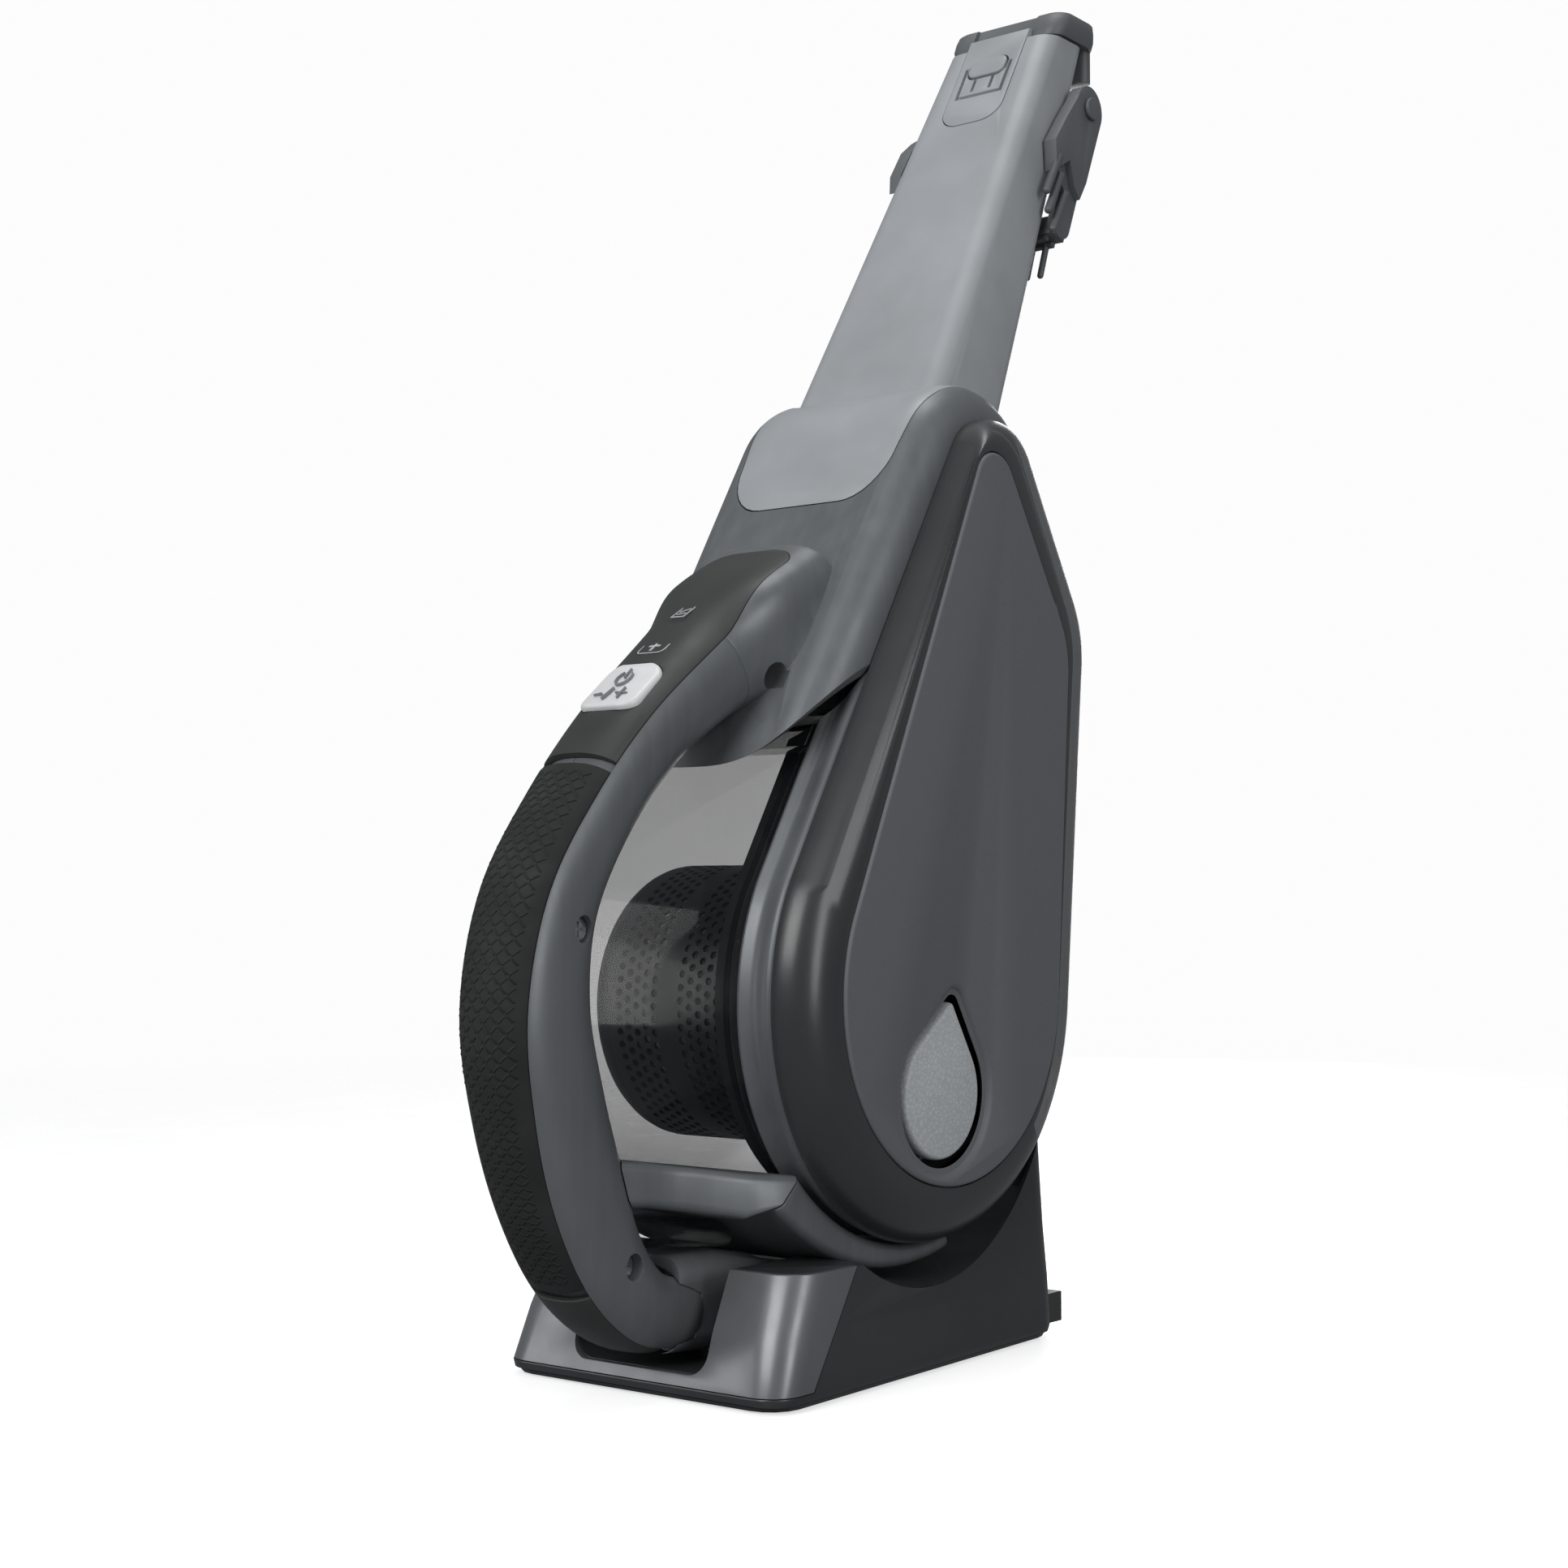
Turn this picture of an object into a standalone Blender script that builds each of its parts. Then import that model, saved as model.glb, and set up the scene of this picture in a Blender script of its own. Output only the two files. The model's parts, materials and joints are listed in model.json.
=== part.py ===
"""A cordless hand vacuum standing upright in its charging stand, as separate named parts.

Lengths below are in millimetres and become metres when a mesh is made. +Z is up, the handle
faces -Y, the motor side faces +X and the bowl comes off towards -X.
"""

import math

import bmesh
import bpy
from mathutils import Matrix, Vector

MM = 0.001
GAP = 0.4

# Side outlines as the hull of three circles (y, z, radius): drum, rear shoulder, apex.
OUTLINE = [(11.0, 113.0, 75.0), (62.0, 226.0, 36.0), (48.0, 276.0, 22.0)]
PLATE = [(11.0, 114.3, 58.5), (46.5, 218.0, 30.0), (33.0, 273.0, 11.0)]
DRUM_Y, DRUM_Z, DRUM_R = OUTLINE[0]
RING_STEPS = 36
POD_X = 41.5
POD_FACE_X = 55.0
PLATE_THICK = 2.0
RELEASE = [(4.0, 84.0, 21.5), (9.0, 110.0, 3.5)]
SHELL_WALL = 2.4
HOUSING_GROW = 13.0
HOUSING_FLAT_X = 28.0
LIP_Z = 184.0
LIP_Y = -46.0
LIP_SLOPE = 0.335
LIP_RISE = 20.0

BOWL_END_X = -57.0
BOWL_OPEN_X = 27.2
BOWL_GROW = -1.0
BOWL_WALL = 2.2
FILTER_YZ = (4.0, 110.0)
FILTER_R = 44.0
FILTER_END_X = -52.0
FILTER_PLATE_X = 14.5
FILTER_PLATE_R = 62.0
MOTOR_HOUSING_X = (19.2, 40.4)
HOOP_X = (27.6, 40.9)
HOOP_WALL = 4.6
BULKHEAD_GROW = -6.0
BULKHEAD_DROP = 3.8
BULKHEAD_WALL = 2.8
SEAL_GROW = -6.6
SEAL_WIDTH = 5.2
FAN_CAVITY_R = 52.0
IMPELLER_R = 46.0

NOZZLE_BASE_Z = 262.0
NOZZLE_TIP_Z = 451.5
NOZZLE_REF_Z = 307.0
NOZZLE_FRONT = (36.5, 0.583)
NOZZLE_REAR = (79.0, 0.4637)
NOZZLE_HALF_ROOT = 30.0
NOZZLE_HALF_TIP = 22.5
NOZZLE_WALL = 2.0
COLLAR_HALF_TOP = 33.5
COLLAR_HALF_LOW = 25.0
COLLAR_LOW_Z = 268.5
TOOL_TRAVEL_DIR = Vector((0.0, 0.5037, 0.8639))
TOOL_LENGTH = 96.0
BRUSH_PIVOT = (134.0, 425.0)
BRUSH_REACH = 49.0
BRUSH_ARM = (-0.3344, -0.9424)

GRID = 26
PANEL_TOP = 4.0
CELLS = ((37, 51), (54, 68))
BUTTON_SHARE = 25.5
BUTTON_HALF = 10.8
BUTTON_WELL = 3.6
PANEL_END = 33.0
GRIP_START = 34.0
# Screws through the side of the handle: (y, z) and the x of the recess floor.
HANDLE_SCREWS = [(-35.2, 210.4, 12.0), (-113.7, 135.0, 11.2), (-92.5, 40.2, 10.0)]
HEEL_SCREW = (-28.5, 29.5, 9.0)

LINER_HALF = 10.5
SKIN = 2.2
# Handle spine from inside the housing to the heel: (y, z, half depth, half width, grip half width).
SPINE = [
    (-6.0, 236.0, 20.0, 21.5, 18.0),
    (-29.0, 223.6, 19.5, 21.0, 18.0),
    (-51.7, 210.2, 15.5, 18.8, 16.4),
    (-78.4, 190.3, 13.4, 17.0, 14.8),
    (-99.9, 167.2, 13.2, 16.4, 14.0),
    (-115.9, 141.4, 15.2, 16.0, 13.5),
    (-120.6, 112.6, 17.6, 16.0, 13.0),
    (-115.3, 85.9, 18.6, 16.0, 12.2),
    (-106.7, 62.1, 18.2, 16.0, 11.4),
    (-95.7, 41.0, 15.5, 16.0, 11.0),
    (-80.5, 27.0, 13.0, 15.5, 10.6),
    (-62.0, 23.0, 12.0, 14.5, 10.2),
]

# Stand plan at each height: (z, front y, rear y, half width in front, half width behind).
STAND = [
    (2.2, -74.8, 81.0, 53.2, 47.2),
    (4.2, -75.6, 82.0, 54.0, 47.9),
    (20.0, -70.2, 82.0, 52.9, 47.6),
    (36.5, -62.5, 81.5, 51.4, 47.0),
    (73.0, -42.0, 80.5, 49.0, 46.0),
]
STAND_WALL = 2.4
STAND_FRONT_TOP = 36.8
# Cradle for the drum as (y, z, radius); it narrows towards +X at the x given first.
CRADLE = [(9.0, 105.0, 78.0)]
CRADLE_NARROW = [(43.0, 9.0, 105.0, 78.0), (50.0, 5.0, 93.0, 67.0)]
RECESS_FLOOR = 8.0

PALETTE = {
    "light_plastic": ((0.34, 0.36, 0.38, 1), 0.42),
    "housing_plastic": ((0.075, 0.083, 0.088, 1), 0.38),
    "grip_rubber": ((0.022, 0.024, 0.022, 1), 0.8),
    "panel_plastic": ((0.034, 0.036, 0.034, 1), 0.55),
    "white_plastic": ((0.75, 0.76, 0.77, 1), 0.4),
    "smoked_plastic": ((0.03, 0.035, 0.038, 1), 0.12),
    "plate_plastic": ((0.085, 0.093, 0.1, 1), 0.5),
    "dark_plastic": ((0.02, 0.022, 0.024, 1), 0.35),
    "brush_plastic": ((0.085, 0.09, 0.094, 1), 0.5),
    "steel": ((0.55, 0.56, 0.57, 1), 0.3),
    "filter_paper": ((0.6, 0.6, 0.56, 1), 0.9),
    "cell_wrap": ((0.03, 0.12, 0.3, 1), 0.45),
}


# ---------------------------------------------------------------- helpers
def clear_scene():
    for obj in list(bpy.data.objects):
        bpy.data.objects.remove(obj, do_unlink=True)
    for col in list(bpy.data.collections):
        bpy.data.collections.remove(col)


def new_collection(name):
    col = bpy.data.collections.new(name)
    bpy.context.scene.collection.children.link(col)
    return col


clear_scene()
PARTS = new_collection("hand_vacuum")
CUTTERS = new_collection("cutters")


def material_for(name, slot):
    colour, rough = PALETTE[slot]
    mat = bpy.data.materials.new(name + "_" + slot)
    mat.use_nodes = True
    shader = mat.node_tree.nodes["Principled BSDF"]
    shader.inputs["Base Color"].default_value = colour
    shader.inputs["Roughness"].default_value = rough
    shader.inputs["Metallic"].default_value = 1.0 if slot == "steel" else 0.0
    return mat


def object_from(bm, name, slot=None):
    bmesh.ops.remove_doubles(bm, verts=bm.verts, dist=0.00002)
    bmesh.ops.recalc_face_normals(bm, faces=bm.faces)
    mesh = bpy.data.meshes.new(name)
    bm.to_mesh(mesh)
    bm.free()
    obj = bpy.data.objects.new(name, mesh)
    if slot:
        PARTS.objects.link(obj)
        mesh.materials.append(material_for(name, slot))
    else:
        CUTTERS.objects.link(obj)
        obj.hide_render = True
        obj.display_type = "WIRE"
    return obj


def loft(name, rings, slot=None):
    """A closed body through rings of (x, y, z) points, with a flat cap at each end."""
    bm = bmesh.new()
    rows = []
    for ring in rings:
        rows.append([bm.verts.new(Vector(p) * MM) for p in ring])
    count = len(rows[0])
    for low, high in zip(rows, rows[1:]):
        for k in range(count):
            j = (k + 1) % count
            bm.faces.new((low[k], low[j], high[j], high[k]))
    bm.faces.new(rows[0])
    bm.faces.new(rows[-1])
    return object_from(bm, name, slot)


def box(name, low, high, slot=None):
    (x0, y0, z0), (x1, y1, z1) = low, high
    ring = lambda z: [(x0, y0, z), (x1, y0, z), (x1, y1, z), (x0, y1, z)]
    return loft(name, [ring(z0), ring(z1)], slot)


def cylinder(name, start, end, radius, slot=None, steps=32, end_radius=None):
    start, end = Vector(start), Vector(end)
    along = (end - start).normalized()
    side = along.orthogonal().normalized()
    other = along.cross(side)
    rings = []
    for centre, r in ((start, radius), (end, radius if end_radius is None else end_radius)):
        ring = []
        for k in range(steps):
            t = 2 * math.pi * k / steps
            ring.append(tuple(centre + side * (r * math.cos(t)) + other * (r * math.sin(t))))
        rings.append(ring)
    return loft(name, rings, slot)


def turned(name, centre, profile, slot=None, steps=40):
    """A body turned about an axis along X through centre (y, z), from (x, radius) pairs."""
    rings = []
    for x, r in profile:
        ring = []
        for k in range(steps):
            t = 2 * math.pi * k / steps
            ring.append((x, centre[0] + r * math.cos(t), centre[1] + r * math.sin(t)))
        rings.append(ring)
    return loft(name, rings, slot)


def evaluated(obj):
    graph = bpy.context.evaluated_depsgraph_get()
    mesh = bpy.data.meshes.new_from_object(obj.evaluated_get(graph))
    old = obj.data
    obj.modifiers.clear()
    obj.data = mesh
    mesh.name = old.name
    bpy.data.meshes.remove(old)


def boolean(obj, other, operation, drop=False):
    mod = obj.modifiers.new(operation.lower(), "BOOLEAN")
    mod.operation = operation
    mod.solver = "EXACT"
    mod.object = other
    evaluated(obj)
    if drop:
        bpy.data.objects.remove(other, do_unlink=True)
    return obj


def cut(obj, *others):
    for other in others:
        boolean(obj, other, "DIFFERENCE")
    return obj


def add(obj, *others):
    for other in others:
        boolean(obj, other, "UNION", drop=True)
    return obj


def keep(obj, other):
    return boolean(obj, other, "INTERSECT")


def as_part(obj, name, slot):
    """Turn a body that was built as a cutter into a part."""
    obj.name = name
    obj.data.name = name
    CUTTERS.objects.unlink(obj)
    PARTS.objects.link(obj)
    obj.hide_render = False
    obj.display_type = "TEXTURED"
    obj.data.materials.clear()
    obj.data.materials.append(material_for(name, slot))
    return obj


def put_origin(obj, point):
    shift = Vector(point) * MM
    obj.data.transform(Matrix.Translation(-shift))
    obj.location = shift


# ---------------------------------------------------------------- outlines
def hull_ring(circles, grow=0.0, count=RING_STEPS):
    """Points (y, z) on the hull of the circles, one for each outward direction."""
    points = []
    for k in range(count):
        t = 2 * math.pi * (k + 0.5) / count
        n = (math.cos(t), math.sin(t))
        y, z, r = max(circles, key=lambda c: c[0] * n[0] + c[1] * n[1] + c[2])
        points.append((y + (r + grow) * n[0], z + (r + grow) * n[1]))
    return points


def at_x(x, points):
    return [(x, y, z) for y, z in points]


def between(first, second, t):
    return [tuple(a + (b - a) * t for a, b in zip(p, q)) for p, q in zip(first, second)]


def hull_body(name, stations, slot=None, count=RING_STEPS):
    rings = [at_x(x, hull_ring(circles, grow, count)) for x, circles, grow in stations]
    return loft(name, rings, slot)


def rounded_rect(x0, x1, y0, y1, radius, z, steps=4):
    points = []
    corners = ((x1, y1, 0), (x0, y1, 90), (x0, y0, 180), (x1, y0, 270))
    for cx, cy, start in corners:
        px = cx - radius if cx == x1 else cx + radius
        py = cy - radius if cy == y1 else cy + radius
        for k in range(steps + 1):
            t = math.radians(start + 90.0 * k / steps)
            points.append((px + radius * math.cos(t), py + radius * math.sin(t), z))
    return points


def lip_block(name, drop, low, high, flat=False):
    """The space under (low) or over (high) the housing's lower lip, as a cutter.

    With flat, the lip doesn't rise towards +X, which is how the bowl is shaped so it can leave.
    """
    xs = [-70.0, -41.5, -34.0, -26.0, -17.0, -8.0, 8.0, 17.0, 26.0, 34.0, 41.5, 70.0]
    rings = []
    for y in (-110.0, 160.0):
        edge = [(x, y, lip_height(x, y, flat) - drop) for x in xs]
        far = low if low is not None else high
        rings.append(edge + [(70.0, y, far), (-70.0, y, far)])
    return loft(name, rings)


def lip_height(x, y, flat=False):
    """Height of the housing's lower lip at a place in plan."""
    share = 0.0 if flat and x > 0.0 else min(abs(x), POD_X) / POD_X
    return LIP_Z + LIP_SLOPE * (y - LIP_Y) + LIP_RISE * share**3


# ---------------------------------------------------------------- upper housing and pod
def housing_stations(inset):
    stations = []
    flat = HOUSING_FLAT_X
    for k in range(5):
        t = math.radians(90.0 * k / 4)
        x = flat + (POD_X - GAP / 2 - inset - flat) * math.cos(t)
        grow = HOUSING_GROW * math.sin(t) - inset
        stations.append((x, OUTLINE, grow))
    stations.reverse()
    half = stations
    other = [(-x, c, g) for x, c, g in reversed(half)]
    return other + half


def make_upper_housing():
    body = hull_body("upper_housing", housing_stations(0.0), "housing_plastic")
    inner = hull_body("housing_inner", housing_stations(SHELL_WALL))
    keep(body, lip_block("lip_over", 0.0, None, 420.0))
    cut(body, inner)
    cut(body, collar_prism("collar_hole", 0.25, 60.0))
    cut(body, nozzle_body("nozzle_room", GAP, 250.0, 330.0))
    cut(body, box("grille_room", (-20.3, 80.0, 203.7), (20.3, 140.0, 246.3)))
    fairing = make_fairing()
    keep(fairing, lip_block("lip_over_fairing", 0.0, None, 420.0))
    cut(fairing, hull_body("fairing_inner", housing_stations(1.2)))
    add(body, fairing)
    return screw_recess(body, HANDLE_SCREWS[0][:2], HANDLE_SCREWS[0][2], 24.0)


def make_exhaust_grille():
    """A louvred piece of the housing's own curved wall, set in its rear."""
    grille = hull_body("exhaust_grille", housing_stations(0.4), "dark_plastic")
    cut(grille, hull_body("grille_inner", housing_stations(SHELL_WALL - 0.2)))
    keep(grille, box("grille_window", (-20.0, 80.0, 204.0), (20.0, 140.0, 246.0)))
    for k in range(6):
        z = 209.0 + 6.0 * k
        cut(grille, box("louvre", (-16.0, 70.0, z), (16.0, 140.0, z + 2.6)))
    return grille


def collar_prism(name, grow, depth):
    """The tongue outline of the collar, run from the front through to depth in Y."""
    top, low, z_low = COLLAR_HALF_TOP + grow, COLLAR_HALF_LOW + grow, COLLAR_LOW_Z - grow
    outline = [(top, 330.0), (top, 306.0), (top - 2.0, 295.0), (low + 5.0, z_low + 13.0)]
    outline += [(low + 2.0, z_low + 6.0), (low - 3.0, z_low + 1.8), (low - 9.0, z_low)]
    ring = outline + [(-x, z) for x, z in reversed(outline)]
    return loft(name, [[(x, y, z) for x, z in ring] for y in (-60.0, depth)])


def make_side_cover():
    outer = []
    inner = []
    for k in range(5):
        t = math.radians(90.0 * k / 4)
        share = 1.0 - math.cos(t)
        x = POD_X + GAP / 2 + (POD_FACE_X - POD_X) * math.sin(t)
        outer.append((x, between(OUTLINE, PLATE, share), 1.5 * share))
        inner.append((x - 2.2, between(OUTLINE, PLATE, share), 1.5 * share - 2.0))
    cover = hull_body("side_cover", outer, "smoked_plastic")
    inner[0] = (POD_X - 3.0, OUTLINE, -2.0)
    cut(cover, hull_body("cover_inner", inner))
    pocket = [(POD_FACE_X - 1.2, PLATE, 0.3), (POD_FACE_X + 5.0, PLATE, 0.3)]
    cut(cover, hull_body("plate_pocket", pocket))
    cut(cover, hull_body("release_way", [(45.0, RELEASE, 1.5), (60.0, RELEASE, 1.5)], count=32))
    return cover


def make_side_plate():
    x = POD_FACE_X - 1.0
    stations = [(x, PLATE, -0.2), (x + 1.2, PLATE, -0.2), (x + PLATE_THICK, PLATE, -1.4)]
    plate = hull_body("side_plate", stations, "plate_plastic")
    hole = [(40.0, RELEASE, 1.6), (x + 0.6, RELEASE, 1.6), (70.0, RELEASE, 16.0)]
    cut(plate, hull_body("release_hole", hole, count=32))
    return plate


def make_release_button():
    x = POD_FACE_X - 1.6
    stations = [(x - 2.4, RELEASE, 1.0), (x, RELEASE, 1.0), (x + 1.6, RELEASE, -0.6)]
    button = hull_body("release_button", stations, "light_plastic", count=32)
    put_origin(button, (x, RELEASE[0][0], RELEASE[0][1]))
    return button


# ---------------------------------------------------------------- nozzle
def nozzle_face(z):
    front = NOZZLE_FRONT[0] + (z - NOZZLE_REF_Z) * NOZZLE_FRONT[1]
    rear = NOZZLE_REAR[0] + (z - NOZZLE_REF_Z) * NOZZLE_REAR[1]
    share = (z - NOZZLE_REF_Z) / (NOZZLE_TIP_Z - NOZZLE_REF_Z)
    half = NOZZLE_HALF_ROOT + (NOZZLE_HALF_TIP - NOZZLE_HALF_ROOT) * share
    return front, rear, half


def nozzle_body(name, grow, z_low, z_high, slot=None, steps=5):
    rings = []
    for k in range(steps):
        z = z_low + (z_high - z_low) * k / (steps - 1)
        front, rear, half = nozzle_face(z)
        radius = 7.0 + grow
        args = (-half - grow, half + grow, front - grow, rear + grow)
        rings.append(rounded_rect(*args, radius, z, steps=5))
    return loft(name, rings, slot)


def make_nozzle():
    nozzle = nozzle_body("nozzle", 0.0, NOZZLE_BASE_Z, NOZZLE_TIP_Z, "light_plastic")
    collar = hull_body("collar_outer", housing_stations(0.0))
    cut(collar, hull_body("collar_inner", housing_stations(SHELL_WALL)))
    keep(collar, collar_prism("collar_tongue", -0.15, 60.0))
    add(nozzle, collar)
    cut(nozzle, nozzle_body("nozzle_bore", -NOZZLE_WALL, 240.0, 470.0))
    cut(nozzle, latch_slot("latch_room", 0.3))
    return nozzle


def latch_slot(name, grow, depth=(-6.0, 3.4)):
    """The U-shaped outline at the tip, in the plane of the nozzle's front face."""
    half, length = 12.5 + grow, 39.0 + grow
    outline = [(half, 30.0), (half, -length + 9.0), (half - 3.5, -length + 2.5)]
    outline += [(half - 8.0, -length)]
    ring = outline + [(-x, s) for x, s in reversed(outline)]
    return loft(name, [[face_point(x, s, d) for x, s in ring] for d in depth])


def face_point(x, s, d):
    """A point on the nozzle's front face, s up from the tip and d into the nozzle."""
    front, _, _ = nozzle_face(NOZZLE_TIP_Z)
    tip = Vector((0.0, front, NOZZLE_TIP_Z))
    inward = Vector((0.0, TOOL_TRAVEL_DIR.z, -TOOL_TRAVEL_DIR.y))
    return tuple(tip + TOOL_TRAVEL_DIR * s + inward * d + Vector((x, 0.0, 0.0)))


def tool_ring(s, half, near, far, radius):
    ring = []
    for x, d, _ in rounded_rect(-half, half, near, far, radius, 0.0, steps=3):
        ring.append(face_point(x, s, d))
    return ring


def make_crevice_tool():
    stations = [(-TOOL_LENGTH, 19.2, 3.0, 14.6, 3.5), (6.0, 19.2, 3.0, 14.6, 3.5)]
    tool = loft("crevice_tool", [tool_ring(*s) for s in stations], "brush_plastic")
    flare = []
    for z, grow in ((452.4, -0.6), (456.0, 0.4), (461.6, 0.2)):
        y0, y1 = 123.5 + (z - 452.4) * 0.5, 152.5
        flare.append(rounded_rect(-23.6 - grow, 23.6 + grow, y0 - grow, y1, 6.0, z, steps=4))
    head = loft("tool_head", flare, "brush_plastic")
    skirt = [rounded_rect(-21.0, 21.0, 147.2, 152.5, 2.4, z, steps=2) for z in (441.0, 455.0)]
    add(head, loft("tool_skirt", skirt, "brush_plastic"))
    add(tool, head)
    bore = [(-TOOL_LENGTH - 5.0, 17.6, 4.6, 13.0, 2.5), (30.0, 17.6, 4.6, 13.0, 2.5)]
    cut(tool, loft("tool_bore", [tool_ring(*s) for s in bore]))
    return cut(tool, latch_slot("latch_notch", 0.4, (-6.0, 2.8)))


def make_latch_plate():
    plate = latch_slot("latch_plate_blank", 0.0, (-0.2, 2.4))
    limit = nozzle_body("latch_limit", 3.0, 380.0, NOZZLE_TIP_Z + 4.0)
    keep(plate, limit)
    as_part(plate, "latch_plate", "light_plastic")
    cut(plate, latch_button_body("latch_button_room", 0.35, (-3.0, 4.0)))
    return plate


def latch_button_body(name, grow, depth, slot=None):
    rings = []
    for d, inset in ((depth[0], 0.8 if slot else 0.0), (depth[0] + 1.0, 0.0), (depth[1], 0.0)):
        ring = []
        half, tall = 7.6 + grow - inset, 4.2 + grow - inset
        for x, s, _ in rounded_rect(-half, half, -11.5 - tall, -11.5 + tall, 3.2, 0.0, 3):
            ring.append(face_point(x, s, d))
        rings.append(ring)
    return loft(name, rings, slot)


def brush_point(x, reach, across):
    """A point on the brush: reach from its pivot along the arm, then across the arm."""
    py, pz = BRUSH_PIVOT
    y = py + BRUSH_ARM[0] * reach - BRUSH_ARM[1] * across
    return (x, y, pz + BRUSH_ARM[1] * reach + BRUSH_ARM[0] * across)


def brush_arm(side):
    """A thin arm down to the bar, and a thicker pad on it; the left pad has a finger tab."""
    thin = []
    pad = []
    for k in range(20):
        t = 2 * math.pi * k / 20
        reach = 0.0 if math.cos(t) < 0 else BRUSH_REACH - 2.0
        wide = 8.3 if reach == 0.0 else 5.5
        thin.append((reach + wide * math.cos(t), wide * math.sin(t)))
    for k in range(9):
        t = math.radians(90.0 + 180.0 * k / 8)
        pad.append((8.3 * math.cos(t), 8.3 * math.sin(t)))
    if side < 0:
        pad += [(14.0, -20.0), (21.0, -24.4), (33.0, -27.4), (39.0, -25.6), (27.0, -11.0)]
    else:
        pad += [(19.0, -8.0)]
    pad += [(25.0, -5.8), (32.0, -0.5), (35.0, 4.4), (27.0, 6.4)]
    arm = loft("brush_arm", [[brush_point(side * x, *p) for p in thin] for x in (26.0, 28.3)])
    body = loft("brush_pad", [[brush_point(side * x, *p) for p in pad] for x in (26.0, 30.8)])
    return add(arm, body)


def make_brush():
    frame = None
    for side in (-1, 1):
        arm = brush_arm(side)
        frame = arm if frame is None else add(frame, arm)
    bar = []
    for x in (-28.0, 28.0):
        corners = ((-3.5, -3.6), (3.5, -3.6), (3.5, 3.6), (-3.5, 3.6))
        bar.append([brush_point(x, BRUSH_REACH + r, w) for r, w in corners])
    add(frame, loft("brush_bar", bar))
    for side in (-1, 1):
        ends = [(side * x, *BRUSH_PIVOT) for x in (20.0, 40.0)]
        cut(frame, cylinder("brush_hole", *ends, 2.4, steps=16))
    as_part(frame, "brush_frame", "brush_plastic")
    put_origin(frame, (0.0, *BRUSH_PIVOT))
    return frame


def make_brush_pin(name, side):
    pin = cylinder(name, (side * 24.4, *BRUSH_PIVOT), (side * 32.0, *BRUSH_PIVOT), 2.1,
                   "brush_plastic", steps=16)
    head = cylinder("pin_head", (side * 31.1, *BRUSH_PIVOT), (side * 32.5, *BRUSH_PIVOT), 4.0,
                    steps=20)
    return add(pin, head)


def make_bristles(name, w, phase, reach):
    """One comb of bristles: a strip on the bar's lower face with its rods."""
    start = BRUSH_REACH + 3.5 + GAP
    rings = []
    for x in (-25.0, 25.0):
        ends = ((start, w - 0.9), (start + 1.6, w - 0.9), (start + 1.6, w + 0.9), (start, w + 0.9))
        rings.append([brush_point(x, r, q) for r, q in ends])
    comb = loft(name, rings, "brush_plastic")
    for k in range(9):
        x = -22.0 + 5.5 * k + phase
        if abs(x) > 24.0:
            continue
        ends = (brush_point(x, start + 0.5, w), brush_point(x, start + reach, w))
        add(comb, cylinder("rod", *ends, 0.85, steps=8))
    put_origin(comb, (0.0, *BRUSH_PIVOT))
    return comb


def make_side_bristles(name, side):
    """The short rods that lie beside the nozzle, under the pad of one arm."""
    xs = (side * 28.7, side * 30.3)
    foot = [(27.4, -5.0), (33.6, -0.6), (36.6, 4.2), (38.0, 3.6), (34.8, -1.6), (28.4, -6.2)]
    comb = loft(name, [[brush_point(x, *p) for p in foot] for x in xs], "brush_plastic")
    lean = Vector((0.0, -0.5037, -0.8639))
    for reach, across in ((28.3, -4.9), (33.6, -1.0), (36.8, 3.4)):
        start = Vector(brush_point(side * 29.8, reach, across))
        add(comb, cylinder("side_rod", start, start + lean * 18.0, 1.2, steps=8))
    put_origin(comb, (0.0, *BRUSH_PIVOT))
    return comb


# ---------------------------------------------------------------- handle
def spine_samples():
    """Sections on a smooth curve through the spine, GRID of them."""
    out = []
    last = len(SPINE) - 1
    for k in range(GRID + 1):
        t = last * k / GRID
        i = min(int(t), last - 1)
        f = t - i
        p = [Vector(SPINE[max(0, min(last, i + j))]) for j in (-1, 0, 1, 2)]
        if i == 0:
            p[0] = 2 * p[1] - p[2]
        if i == last - 1:
            p[3] = 2 * p[2] - p[1]
        b = p[2] - p[0]
        c = 2 * p[0] - 5 * p[1] + 4 * p[2] - p[3]
        d = 3 * p[1] - p[0] - 3 * p[2] + p[3]
        at = 0.5 * (2 * p[1] + b * f + c * f * f + d * f**3)
        along = 0.5 * (b + 2 * c * f + 3 * d * f * f)
        tangent = Vector((0.0, along[0], along[1])).normalized()
        outward = Vector((0.0, tangent.z, -tangent.y))
        out.append((Vector((0.0, at[0], at[1])), outward, at[2], at[3], at[4]))
    return out


def spine_at(share):
    """The section at a percentage of the spine, on the straight line between two stations."""
    samples = spine_samples()
    t = share * GRID / 100.0
    i = min(int(t), GRID - 1)
    low, high = samples[i], samples[i + 1]
    return tuple(a + (b - a) * (t - i) for a, b in zip(low, high))


def spine_part(first, last):
    """The spine's own stations from first to last percent, with those two ends."""
    step = 100.0 / GRID
    inside = [k * step for k in range(GRID + 1) if first + 0.6 < k * step < last - 0.6]
    return [spine_at(share) for share in [first] + inside + [last]]


def section_u(x, depth, half):
    power = 2.5
    return depth * (1.0 - min(1.0, abs(x) / half) ** power) ** (1.0 / power)


def sweep(name, samples, section, slot=None):
    """Sweep section(depth, half, grip) -> [(x, u)], u pointing out of the loop."""
    rings = []
    for pos, outward, depth, half, grip in samples:
        ring = section(depth, half, grip)
        rings.append([tuple(pos + outward * u + Vector((x, 0, 0))) for x, u in ring])
    return loft(name, rings, slot)


def spread(first, last, count):
    return [first + (last - first) * k / (count - 1) for k in range(count)]


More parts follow.
